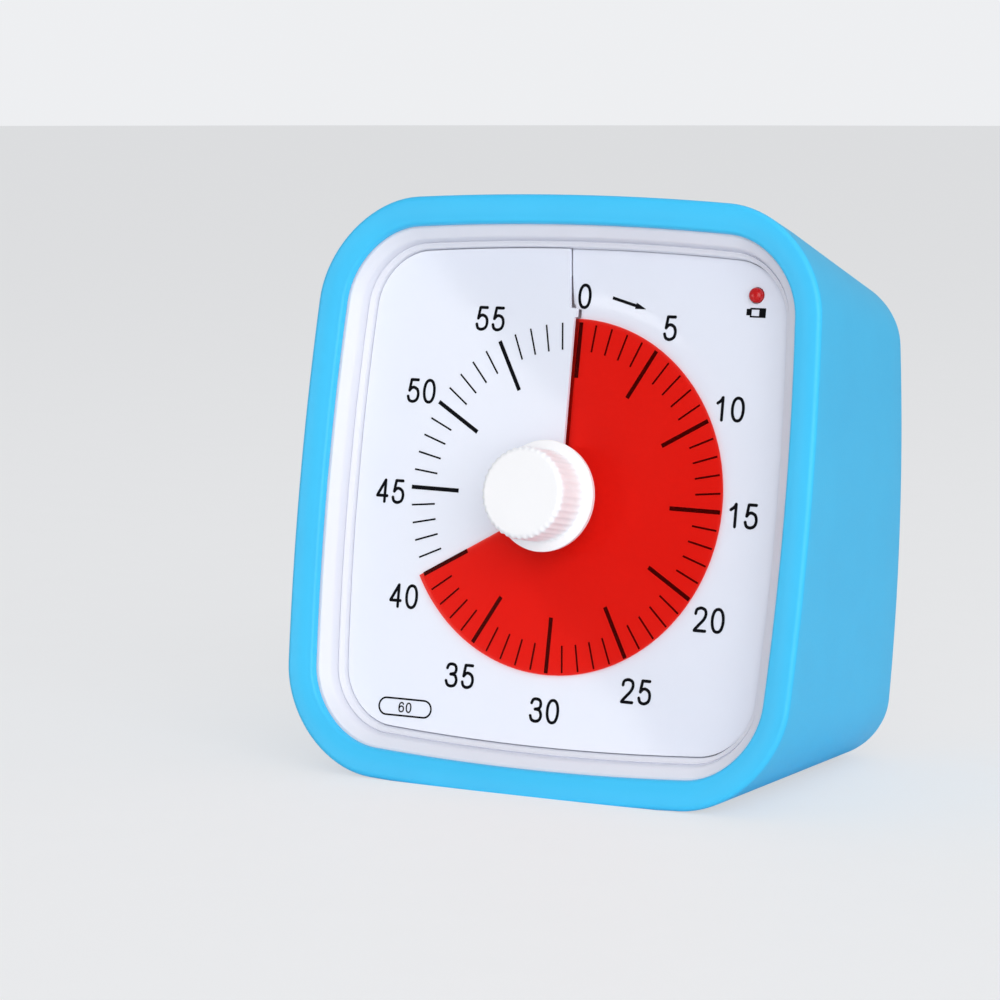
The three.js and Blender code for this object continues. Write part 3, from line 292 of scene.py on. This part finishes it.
sleeve_section += [(lip_width + lip_edge, lip_back)]
sleeve = drawn_round("sleeve_jacket", [outline(*step) for step in sleeve_section], True)
for vertex in sleeve.data.vertices:
    vertex.co.z = max(vertex.co.z, 0)
smoothed(sleeve)
blue_silicone = surface("blue_silicone", tone(62, 202, 255), 0.45, 0.35, 0.008, 0.03, coat=0.08, gleam=0.3)
blue_silicone.node_tree.nodes["Principled BSDF"].inputs["Coat Roughness"].default_value = 0.3
sleeve.data.materials.append(blue_silicone)
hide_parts("silicone_sleeve")
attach(sleeve, "case")

# Front bezel: a white moulded frame. It slopes down from under the sleeve's lip, drops a step,
# and ends in a narrow ledge round the dial, with softened edges throughout.
frame_wall, frame_back = 1.8, 10.05
opening_inset, ledge_front, ledge_back, ledge_edge = 7.6, 5.25, 7.15, 0.2
frame_front, frame_side = lip_back + clearance, jacket_wall + clearance
bezel_section = [(lip_width + lip_edge + clearance, frame_front)]
bezel_section += [(frame_side, frame_front), (frame_side, frame_back)]
bezel_section += [(frame_side + frame_wall, frame_back), (frame_side + frame_wall, ledge_back)]
bezel_section += [(opening_inset, ledge_back), (opening_inset, ledge_front)]
bezel_section += bend(opening_inset - ledge_edge, ledge_front, ledge_edge, -90, 0, 3)
step_groove = [(7.15, 4.76), (7.02, 4.58), (6.94, 4.56), (6.86, 4.72), (6.8, 4.95), (6.72, 4.95)]
step_wall = [(6.65, 4.7), (6.62, 4.2), (6.57, 3.6), (6.52, 3.3), (6.4, 3.08)]
slope_up = [(6.2, 2.91), (5.8, 2.56), (5.4, 2.22)]
bezel_section += step_groove + step_wall + slope_up
white_moulding = surface("white_moulding", tone(236, 238, 248), 0.42, 0.22, 0.004, 0.015)
bezel = drawn_round("bezel_frame", [outline(*step) for step in bezel_section], True)
smoothed(bezel)
bezel.data.materials.append(white_moulding)
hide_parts("front_bezel")
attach(bezel, "case")

# Dial sheet: a printed white plastic sheet, slit from its middle hole to its top edge. Its
# middle is one turn of a shallow screw, so that the film passes through the slit as it turns.
sheet_middle, screw_pitch, edge_step, sheet_wall = 0.3, 1.6, 0.9, 0.6
film_clear, fold_end = 30.3, 38
slit_x, slit_foot, slit_lean, eye_slant = -1.46, 31.83, 0.0952, 0.5565
rim_outline = [(x, z) for x, _, z in outline(opening_inset + 0.02, ledge_back)]


def rim_radius(angle):
    """How far the sheet reaches at a clockwise angle from twelve o'clock."""
    across, along = math.sin(angle), math.cos(angle)
    for k, (x, z) in enumerate(rim_outline):
        to_x, to_z = rim_outline[(k + 1) % len(rim_outline)]
        cross = across * (to_z - z) - along * (to_x - x)
        if abs(cross) < 1e-9:
            continue
        part = (x * along - z * across) / cross
        reach = (x * (to_z - z) - z * (to_x - x)) / cross
        if 0 <= part <= 1 and reach > 0:
            return reach


def eased(part):
    return part * part * (3 - 2 * part)


def sheet_depth(radius, angle):
    """The sheet's depth: a full turn of the screw over the film, that flattens towards the rim."""
    fold = eased(min(max((radius - film_clear) / (fold_end - film_clear), 0), 1))
    step = screw_pitch + (edge_step - screw_pitch) * fold
    return sheet_middle - step * (angle / (2 * math.pi) - 0.5)


def slit_left(up):
    """The left edge of the slit above the film. It leans, so that it stands upright to the eye."""
    sunk = sheet_depth(up, 2 * math.pi) - sheet_middle
    return slit_x - slit_lean * (up - slit_foot) - eye_slant * sunk


def laid_grid(name, columns, rows, place):
    """A flat grid, each of its points laid by a function of its shares along and across."""
    bpy.ops.object.select_all(action="DESELECT")
    bpy.ops.mesh.primitive_grid_add(x_subdivisions=columns, y_subdivisions=rows, size=1, location=(0, 0, 0))
    piece = bpy.context.object
    piece.name = name
    for vertex in piece.data.vertices:
        vertex.co = at_dial(*place(vertex.co.x + 0.5, vertex.co.y + 0.5))
    return piece


def thickened(piece, wall, side=0):
    """Gives a sheet its thickness in millimetres, half to each side unless told otherwise."""
    bpy.ops.object.select_all(action="DESELECT")
    piece.select_set(True)
    bpy.context.view_layer.objects.active = piece
    bpy.ops.object.mode_set(mode="EDIT")
    bpy.ops.mesh.select_all(action="SELECT")
    bpy.ops.mesh.remove_doubles(threshold=0.000002)
    bpy.ops.mesh.normals_make_consistent(inside=False)
    bpy.ops.object.mode_set(mode="OBJECT")
    wall_maker = piece.modifiers.new("wall", "SOLIDIFY")
    wall_maker.thickness = wall / 1000
    wall_maker.offset = side
    bpy.ops.object.modifier_apply(modifier=wall_maker.name)


sheet_rows = [(radius, 0.05, -0.05) for radius in (5.8, 12, 18, 24, 28, 30.2)]
sheet_rows += [(radius, 0.42, 0.36) for radius in (30.35, 30.8, 31.3, 31.75)]
slit_rows = [(up, 0.3) for up in (31.9, 32.5)]
slit_rows += [(up, 0.06) for up in (32.7, 33.3, 34, 36, 38.5, rim_radius(-0.04))]
sheet_rows += [(up, slit_left(up) + width, slit_left(up)) for up, width in slit_rows]


def sheet_place(along, across):
    row = round(across * (len(sheet_rows) - 1))
    radius, right, left = sheet_rows[row]
    start = math.asin(right / radius)
    angle = start + along * (2 * math.pi + math.asin(left / radius) - start)
    if row == len(sheet_rows) - 1:
        radius = rim_radius(angle)
    return radius * math.sin(angle), sheet_depth(radius, angle), radius * math.cos(angle)


dial = laid_grid("dial_card", 300, len(sheet_rows) - 1, sheet_place)
thickened(dial, sheet_wall)
lamp_x, lamp_z, lamp_radius, lamp_play = 32.9, 35.1, 1.25, 0.12
bpy.ops.mesh.primitive_cylinder_add(
    vertices=48, radius=(lamp_radius + lamp_play) / 1000, depth=0.006, location=at_dial(lamp_x, 0, lamp_z))
drill = bpy.context.object
drill.rotation_euler = inward.to_track_quat("Z", "Y").to_euler()
bore = dial.modifiers.new("lamp_hole", "BOOLEAN")
bore.operation = "DIFFERENCE"
bore.solver = "EXACT"
bore.object = drill
bpy.ops.object.select_all(action="DESELECT")
dial.select_set(True)
bpy.context.view_layer.objects.active = dial
bpy.ops.object.modifier_apply(modifier=bore.name)
bpy.data.objects.remove(drill)
smoothed(dial)
dial.data.materials.append(surface("dial_card_white", tone(235, 239, 251), 0.06, 0.6, 0.0004, 0.006))
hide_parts("dial_sheet")
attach(dial, "case")

# Dial print: black ink on the sheet. Sixty minute marks, twelve numerals, a clockwise arrow, a
# small battery sign under the lamp, and the dial's span of sixty in a rounded box.
ink_lift, ink_wall, print_drift = 0.03, 0.02, 0.37
print_turn, print_x, print_z, print_stretch = 0.84, 0.21, -0.15, 0.3
stroke_step = 0.14
ink_marks = []


def sheet_front(x, z):
    radius, angle = math.hypot(x, z), math.atan2(x, z) % (2 * math.pi)
    if radius > 31.8 and z > 0 > x > slit_left(z):
        angle -= 2 * math.pi
    return sheet_depth(radius, angle) - sheet_wall / 2


def inked(points, width, ends="flat", taper=None):
    """A printed stroke along a row of points across the dial, with flat, round or tapered ends."""
    lengths = [0]
    for (x, z), (to_x, to_z) in zip(points, points[1:]):
        lengths.append(lengths[-1] + math.hypot(to_x - x, to_z - z))
    span = lengths[-1]
    spare = width / 2 if ends == "round" else 0

    def place(along, across):
        reach = -spare + along * (span + 2 * spare)
        if ends == "round":
            reach = span / 2 - (span / 2 + spare) * math.copysign(1, 0.5 - along) * abs(2 * along - 1) ** 0.9
        inside = min(max(reach, 0), span)
        k = max(index for index in range(len(lengths) - 1) if lengths[index] <= inside)
        (x, z), (to_x, to_z) = points[k], points[k + 1]
        step = lengths[k + 1] - lengths[k]
        share = (inside - lengths[k]) / step
        over = reach - inside
        direction = ((to_x - x) / step, (to_z - z) / step)
        half = width / 2
        if over:
            half = math.sqrt(max(half * half - over * over, 1e-6))
        if taper:
            half = taper(along)
        middle_x = x + (to_x - x) * share + direction[0] * over
        middle_z = z + (to_z - z) * share + direction[1] * over
        aside = (across - 0.5) * 2 * half
        spot_x = middle_x - direction[1] * aside
        spot_z = middle_z + direction[0] * aside
        spot_x -= print_drift * sheet_front(spot_x, spot_z)
        return spot_x, sheet_front(spot_x, spot_z) - ink_lift - ink_wall / 2, spot_z

    curving = len(points) > 2 or ends == "round"
    steps = max(8, round((span + width) / stroke_step)) if curving else max(6, round(span))
    ink_marks.append(laid_grid("mark", steps, 1, place))


def curved(points, steps=10):
    """A smooth row of points through the given ones."""
    row = []
    padded = [points[0]] + list(points) + [points[-1]]
    for k in range(1, len(padded) - 2):
        before, start, end, after = padded[k - 1:k + 3]
        for step in range(steps):
            part = step / steps
            row.append(tuple(
                0.5 * (2 * start[i] + (end[i] - before[i]) * part
                       + (2 * before[i] - 5 * start[i] + 4 * end[i] - after[i]) * part ** 2
                       + (3 * start[i] - before[i] - 3 * end[i] + after[i]) * part ** 3)
                for i in (0, 1)))
    return row + [points[-1]]


long_mark, short_mark = (20.1, 29.4, 0.7), (24.7, 29.25, 0.3)
zero_mark, zero_width = [(0.7, 20.3), (0.82, 29.6)], 0.72
inked(zero_mark, zero_width)
for minute in range(1, 60):
    angle = math.radians(6 * minute + print_turn)
    inner, outer, width = short_mark if minute % 5 else long_mark
    mark_line = []
    for radius in (inner, outer):
        reach = radius + print_stretch * math.cos(angle)
        mark_line.append((print_x + reach * math.sin(angle), print_z + reach * math.cos(angle)))
    inked(mark_line, width)

oval = [(0.5 + 0.5 * math.copysign(abs(math.cos(turn)) ** 0.86, math.cos(turn)),
         0.5 + 0.5 * math.copysign(abs(math.sin(turn)) ** 0.96, math.sin(turn)))
        for turn in [math.pi / 2 + k * math.pi / 24 for k in range(49)]]
numeral_strokes = {
    "0": [oval],
    "1": [[(0.66, 0), (0.66, 1)], curved([(0.66, 1), (0.5, 0.86), (0.2, 0.74)])],
    "2": [curved([(0.03, 0.74), (0.12, 0.92), (0.5, 1), (0.88, 0.92), (0.97, 0.72),
                  (0.8, 0.5), (0.4, 0.26), (0.1, 0.08), (0, 0)]),
          [(0, 0), (1, 0)]],
    "3": [curved([(0.04, 0.8), (0.18, 0.96), (0.5, 1), (0.82, 0.94), (0.92, 0.76), (0.8, 0.6), (0.4, 0.54)]),
          curved([(0.4, 0.54), (0.82, 0.5), (1, 0.28), (0.86, 0.07), (0.5, 0), (0.15, 0.06), (0, 0.24)])],
    "4": [[(0.76, 0), (0.76, 1)], [(0.76, 1), (0, 0.28)], [(0, 0.28), (1, 0.28)]],
    "5": [[(0.92, 1), (0.24, 1)], [(0.24, 1), (0.1, 0.5)],
          curved([(0.1, 0.5), (0.3, 0.62), (0.55, 0.65), (0.88, 0.55), (1, 0.33),
                  (0.88, 0.1), (0.5, 0), (0.14, 0.06), (0, 0.24)])],
    "6": [curved([(0.94, 0.82), (0.8, 0.96), (0.5, 1), (0.14, 0.86), (0, 0.42), (0.1, 0.1), (0.5, 0),
                  (0.9, 0.1), (1, 0.32), (0.88, 0.54), (0.52, 0.62), (0.16, 0.52), (0.04, 0.34)])],
}
figure_height, figure_width, figure_line, figure_pitch = 4.25, 2.52, 0.52, 3.17


def numeral(sign, x, z, height, width, line):
    """One numeral, centred on a place of the dial."""
    broad, tall = width - line, height - line
    for row in numeral_strokes[sign]:
        inked([(x + (across - 0.5) * broad, z + (up - 0.5) * tall) for across, up in row], line, "round")


figures = {
    0: (1.11, 33.97), 5: (17.65, 29.2), 10: (29.7, 16.35), 15: (33.7, -0.9),
    20: (29.25, -18.2), 25: (17, -30.9), 30: (0.1, -35.5), 35: (-16.7, -31),
    40: (-29, -18.4), 45: (-33.4, -0.7), 50: (-28.9, 16.7), 55: (-16.5, 29.5)}
for minutes, (x, z) in figures.items():
    signs = str(minutes)
    for k, sign in enumerate(signs):
        along_pair = (k - (len(signs) - 1) / 2) * figure_pitch
        numeral(sign, x + along_pair, z, figure_height, figure_width, figure_line)
arrow_tail, arrow_neck, arrow_barbs, arrow_tip = (6.44, 33.88), (11.5, 32.55), (10.9, 32.7), (12.83, 32.18)
arrow_line, barb_half, tip_half = 0.5, 0.52, 0.01
inked([arrow_tail, arrow_neck], arrow_line)
inked([arrow_barbs, arrow_tip], barb_half, taper=lambda along: barb_half * (1 - along) ** 0.9 + tip_half)
cell_low, cell_high, cell_line, cell_middle, cell_width = 31.46, 33.04, 0.27, 33.48, 2.85
for across, width, low, high in (
        (31.76, 0.7, 31.8, 32.86), (32.19, 0.28, cell_low, cell_high),
        (cell_middle, cell_width, cell_high - cell_line, cell_high),
        (cell_middle, cell_width, cell_low, cell_low + cell_line), (34.31, 1.19, cell_low, cell_high)):
    inked([(across, low), (across, high)], width)
box_x, box_z, box_half, box_round = -26.9, -37.24, 3.72, 1.43
box_line = [(box_x + box_half, box_z + box_round)]
for middle, first in ((-box_half, 90), (box_half, 270)):
    box_line += [(box_x + middle + box_round * math.cos(math.radians(first + 10 * k)),
                  box_z + box_round * math.sin(math.radians(first + 10 * k))) for k in range(19)]
inked(box_line, short_mark[2])
small_height, small_width, small_line, small_aside = 1.8, 1.12, 0.24, 0.72
for sign, side in (("6", -1), ("0", 1)):
    numeral(sign, box_x + side * small_aside, box_z, small_height, small_width, small_line)
bpy.ops.object.select_all(action="DESELECT")
for mark in ink_marks:
    mark.select_set(True)
bpy.context.view_layer.objects.active = ink_marks[0]
bpy.ops.object.join()
print_ink = bpy.context.object
print_ink.name = "dial_print"
thickened(print_ink, ink_wall)
print_ink.data.materials.append(surface("black_ink", tone(4, 5, 12), 0.6, 0.2, 0.001, 0.1, gleam=0.08))
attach(print_ink, "case")

# Time film: the red disc. A thin clear red film on a small white hub, cut as one turn of the
# screw and threaded through the slit, so that the dial's marks show dark through it.
film_radius, film_wall, film_hole, rest_angle = 29.85, 0.4, 5.4, math.radians(240)
film_lap, film_right, film_up = math.radians(2), 0.1, 0.3
film_start = rest_angle - 2 * math.pi - film_lap


def film_place(along, across):
    angle = film_start + along * (rest_angle - film_start)
    radius = film_hole + across * (film_radius - film_hole)
    depth = sheet_middle - screw_pitch * angle / (2 * math.pi)
    return radius * math.sin(angle) + film_right * across, depth, radius * math.cos(angle) + film_up * across


film = laid_grid("red_film", 362, 4, film_place)
thickened(film, film_wall)
smoothed(film)
clear_red = bpy.data.materials.new("clear_red_film")
clear_red.use_nodes = True
red_nodes = clear_red.node_tree.nodes
red_link = clear_red.node_tree.links.new
red_skin = red_nodes["Principled BSDF"]
red_skin.inputs["Base Color"].default_value = (0.8, 0.012, 0.006, 1)
red_skin.inputs["Roughness"].default_value = 0.16
tint = red_nodes.new("ShaderNodeBsdfTransparent")
streak = red_nodes.new("ShaderNodeTexNoise")
streak.inputs["Scale"].default_value = 35
red_place = red_nodes.new("ShaderNodeTexCoord")
red_link(red_place.outputs["Object"], streak.inputs["Vector"])
reds = red_nodes.new("ShaderNodeValToRGB")
reds.color_ramp.elements[0].position = 0.3
reds.color_ramp.elements[0].color = (0.988, 0.335, 0.285, 1)
reds.color_ramp.elements[1].position = 0.7
reds.color_ramp.elements[1].color = (0.996, 0.355, 0.305, 1)
red_link(streak.outputs["Fac"], reds.inputs["Fac"])
red_link(reds.outputs["Color"], tint.inputs["Color"])
skin_share = red_nodes.new("ShaderNodeMixShader")
skin_share.inputs["Fac"].default_value = 0.035
red_link(tint.outputs["BSDF"], skin_share.inputs[1])
red_link(red_skin.outputs["BSDF"], skin_share.inputs[2])
red_link(skin_share.outputs["Shader"], red_nodes["Material Output"].inputs["Surface"])
film.data.materials.append(clear_red)
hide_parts("time_film")
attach(film, "film")
pale_moulding = surface("pale_moulding", tone(240, 238, 230), 0.45, 0.3, 0.004, 0.03)
solids["film_hub"].material_slots[0].material = pale_moulding

# Knob: a white moulded mushroom pressed on the shaft, with a smooth wide flange, forty fine
# grip ribs that run out over its rounded front edge, and a slightly domed face.
rib_count, points_per_rib, rib_sharpness = 40, 8, 1.5


def knob_ring(radius, depth, rib=0):
    ring = []
    for k in range(rib_count * points_per_rib):
        angle = 2 * math.pi * k / (rib_count * points_per_rib)
        crest = (0.5 + 0.5 * math.cos(rib_count * angle)) ** rib_sharpness
        reach = radius - rib * (1 - crest)
        ring.append((reach * math.sin(angle), depth, reach * math.cos(angle)))
    return ring


stem_radius, stem_back, flange_back = 5.5, -2.3, -5.3
flange_radius, flange_front, flange_edge = 9.3, -6.4, 0.2
grip_radius, rib_depth, front_round, front_rim = 7.7, 0.18, 1, -13.9
edge_middle = flange_radius - flange_edge
knob_rows = [(stem_radius, stem_back, 0), (stem_radius, flange_back, 0), (9.15, flange_back, 0)]
for turn in (1.2, 0.6, 0, -0.4, -0.8, -1.2, -math.pi / 2):
    depth = flange_front + flange_edge + flange_edge * math.sin(turn)
    knob_rows.append((edge_middle + flange_edge * math.cos(turn), depth, 0))
knob_rows += [(8.1, flange_front, 0), (7.85, -6.43, 0.06), (7.72, -6.55, 0.16)]
knob_rows += [(grip_radius, depth, rib_depth) for depth in (-6.8, -9.6, -12.7)]
for turn in (0.2, 0.5, 0.8, 1.1, 1.3, 1.45):
    radius = grip_radius - front_round + front_round * math.cos(turn)
    depth = front_rim + front_round - front_round * math.sin(turn)
    knob_rows.append((radius, depth, rib_depth * math.cos(turn) ** 0.5))
knob_rows += [(6.55, front_rim, 0.02), (6, -13.935, 0), (4.5, -14, 0), (3, -14.05, 0), (1.5, -14.085, 0)]
knob_rows += [(0.05, -14.1, 0)]
knob = drawn_round("setting_knob", [knob_ring(*row) for row in knob_rows], False)
smoothed(knob, 40)
knob.data.materials.append(surface("knob_moulding", tone(253, 253, 255), 0.38, 0.25, 0.004, 0.006))
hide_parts("knob")
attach(knob, "knob")

# Signal lamp: a small dark red lens, polished, that stands through the dial at its top right and
# blinks at zero. Its flange sits behind the deck.
lens_rise, lens_flange, flange_top, flange_foot, lens_sides = 0.8, 2.15, 4.8, 5.2, 48
lens_rows = [(0.02, -lens_rise)]
for turn in (0.2, 0.4, 0.6, 0.8, 1, 1.2, 1.4, math.pi / 2):
    lens_rows.append((lamp_radius * math.sin(turn), -lens_rise * math.cos(turn)))
lens_rows += [(lamp_radius, flange_top), (lens_flange, flange_top)]
lens_rows += [(lens_flange, flange_foot), (0.02, flange_foot)]


def lens_ring(radius, depth):
    turns = [2 * math.pi * k / lens_sides for k in range(lens_sides)]
    return [(lamp_x + radius * math.sin(turn), depth, lamp_z + radius * math.cos(turn)) for turn in turns]


lens = drawn_round("lamp_lens", [lens_ring(*row) for row in lens_rows], False)
smoothed(lens, 40)
dark_red_lens = surface("dark_red_lens", tone(205, 6, 12), 0.15, 1.5, 0.002, 0.15, coat=0.15, gleam=0.3)
lens.data.materials.append(dark_red_lens)
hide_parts("signal_lamp")
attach(lens, "case")

# Dial deck: the white frame behind the dial. The sheet lies on its rim, the film clears its
# recess, and the housing screws bite in its studs. It can't be seen once the case is shut.
solids["dial_deck"].material_slots[0].material = white_moulding

# Setting shaft, slip clutch and clip: turned and pressed steel. The clutch washer presses the
# centre wheel to the shaft's flange, and the open clip holds the wheel on.
bright_steel = surface(
    "bright_steel", tone(190, 192, 197), 0.28, 0.12, 0.002, 0.04, metal=1, stretch=(1, 0.08, 1))
for part in ("knob_shaft", "clutch_washer", "shaft_clip"):
    solids[part].material_slots[0].material = bright_steel

# Gear train: moulded wheels in a slippery natural plastic, driven by a small brass pinion on
# the motor. The centre wheel carries the zero cam.
drawn_brass = surface(
    "drawn_brass", tone(206, 170, 92), 0.3, 0.1, 0.002, 0.05, metal=1, stretch=(1, 0.1, 1))
for part in ("centre_wheel", "intermediate_wheel"):
    solids[part].material_slots[0].material = pale_moulding
solids["motor_pinion"].material_slots[0].material = drawn_brass

# Movement: two moulded plates screwed together over the wheels, and two brass spring leaves
# that close the sounder's circuit when the cam's notch comes round.
for part in ("movement_front_plate", "movement_rear_plate"):
    solids[part].material_slots[0].material = pale_moulding
for part in ("zero_contact_moving", "zero_contact_fixed"):
    solids[part].material_slots[0].material = drawn_brass
for number in (1, 2, 3, 4):
    solids["movement_screw_%d" % number].material_slots[0].material = bright_steel

# Motor: a sealed plated steel can that holds the silent drive and its own reduction. It sits
# behind the rear plate.
plated_can = surface("plated_can", tone(178, 180, 184), 0.34, 0.2, 0.002, 0.05, metal=1)
solids["motor"].material_slots[0].material = plated_can

# Circuit board: green coated laminate on two posts, with one black controller chip, two small
# screws, and thin insulated leads soldered to its back.
coated_laminate = surface("coated_laminate", tone(34, 108, 62), 0.35, 0.5, 0.01, 0.12)
chip_resin = surface("chip_resin", tone(38, 39, 42), 0.55, 0.08, 0.004, 0.1)
solids["circuit_board"].material_slots[0].material = coated_laminate
solids["controller_chip"].material_slots[0].material = chip_resin
for number in (1, 2):
    solids["board_screw_%d" % number].material_slots[0].material = bright_steel
red_insulation = surface("red_insulation", tone(182, 38, 36), 0.45, 0.2, 0.003, 0.06)
black_insulation = surface("black_insulation", tone(34, 34, 37), 0.45, 0.2, 0.003, 0.1)
for part in ("battery_lead_red", "motor_lead", "lamp_lead"):
    solids[part].material_slots[0].material = red_insulation
for part in ("battery_lead_black", "buzzer_lead", "switch_lead"):
    solids[part].material_slots[0].material = black_insulation

# Rear housing: a white moulded tub that closes the case from behind. It has a battery bay, slots
# over the sounder and a dished slot for the volume slider, and four screws hold it to the deck.
housing_moulding = surface("housing_moulding", tone(234, 232, 238), 0.48, 0.3, 0.012, 0.02)
solids["rear_housing"].material_slots[0].material = housing_moulding
for number in (1, 2, 3, 4):
    solids["housing_screw_%d" % number].material_slots[0].material = bright_steel

# Battery door: a flat white lid that snaps into its seat, flush with the back wall, with
# softened edges and a row of low finger ridges at one end.
door_axis = next(joint for joint in frame["joints"] if joint["name"] == "door_release")
outward = Vector(door_axis["axis"]).normalized()
back_upward = Vector((0, -outward.z, outward.y))
back_from_dial = 49.1
back_origin = at_dial(0, back_from_dial, 0)


def at_back(x, y, z):
    return back_origin + (Vector((x, 0, 0)) + y * outward + z * back_upward) / 1000


def set_at_back(piece):
    """Carries a piece that was shaped flat, in millimetres, to its place on the back wall."""
    bpy.ops.object.select_all(action="DESELECT")
    piece.select_set(True)
    bpy.context.view_layer.objects.active = piece
    bpy.ops.object.transform_apply(location=True, rotation=True, scale=True)
    for vertex in piece.data.vertices:
        vertex.co = at_back(*vertex.co)
    bpy.ops.object.mode_set(mode="EDIT")
    bpy.ops.mesh.select_all(action="SELECT")
    bpy.ops.mesh.normals_make_consistent(inside=False)
    bpy.ops.object.mode_set(mode="OBJECT")


def soft_block(name, x, y, z, width, depth, height, round_over, steps=3):
    """A block with softened edges, in millimetres: x right, y out of the back, z up."""
    bpy.ops.object.select_all(action="DESELECT")
    bpy.ops.mesh.primitive_cube_add(size=1, location=(x, y, z))
    piece = bpy.context.object
    piece.name = name
    bpy.ops.transform.resize(value=(width, depth, height))
    bpy.ops.object.transform_apply(location=True, rotation=True, scale=True)
    bpy.ops.object.mode_set(mode="EDIT")
    bpy.ops.mesh.select_all(action="SELECT")
    bpy.ops.mesh.bevel(offset=round_over, segments=steps, affect="EDGES")
    bpy.ops.object.mode_set(mode="OBJECT")
    return piece


def made_one(name, parts):
    bpy.ops.object.select_all(action="DESELECT")
    for part in parts:
        part.select_set(True)
    bpy.context.view_layer.objects.active = parts[0]
    bpy.ops.object.join()
    bpy.context.object.name = name
    return bpy.context.object


lid_width, lid_wall, lid_height, lid_z = 60.3, 1.5, 18.3, -15
ridge_start, ridge_pitch, ridge_count = 20, 1.6, 5
lid = soft_block("lid", 0, -lid_wall / 2, lid_z, lid_width, lid_wall, lid_height, 0.35)
ridges = []
for k in range(ridge_count):
    ridges.append(soft_block("ridge", ridge_start + ridge_pitch * k, 0.1, lid_z, 0.7, 0.5, 9, 0.18, 2))
door = made_one("bay_lid", [lid] + ridges)
set_at_back(door)
smoothed(door)
door.data.materials.append(white_moulding)
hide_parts("battery_door")
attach(door, "door")

# Battery and contacts: one penlight cell with a plain dark jacket and no wording, two brass
# contacts and a steel coil spring in the ends of the bay.
cell_jacket = surface("plain_cell_jacket", tone(70, 76, 88), 0.3, 0.4, 0.002, 0.05, metal=0.6)
solids["battery_cell"].material_slots[0].material = cell_jacket
solids["negative_contact"].material_slots[0].material = drawn_brass
solids["positive_contact"].material_slots[0].material = drawn_brass
solids["negative_spring"].material_slots[0].material = bright_steel

# Sounder: a round black plastic capsule. It is held in the housing's ring, behind the slots, and
# its lead runs to the circuit board.
black_moulding = surface("black_moulding", tone(40, 42, 46), 0.5, 0.25, 0.006, 0.08)
solids["buzzer"].material_slots[0].material = black_moulding

# Volume switch: a small black slide switch behind the back wall. Its button shows in the dish,
# with three low ridges for the finger.
solids["volume_switch"].material_slots[0].material = black_moulding
switch_x, switch_z, button_ridge_pitch = 16, 17, 1.1
slide_foot = soft_block("foot", switch_x, -2.7, switch_z, 5.2, 1.2, 3.8, 0.12, 2)
slide_button = soft_block("button", switch_x, -1.8, switch_z, 4, 3, 2.6, 0.25)
slide_ridges = []
for k in (-1, 0, 1):
    ridge_x = switch_x + button_ridge_pitch * k
    slide_ridges.append(soft_block("ridge", ridge_x, -0.28, switch_z, 0.4, 0.3, 2, 0.1, 2))
slider = made_one("volume_button", [slide_foot, slide_button] + slide_ridges)
set_at_back(slider)
smoothed(slider)
slider.data.materials.append(black_moulding)
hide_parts("volume_slider")
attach(slider, "volume")
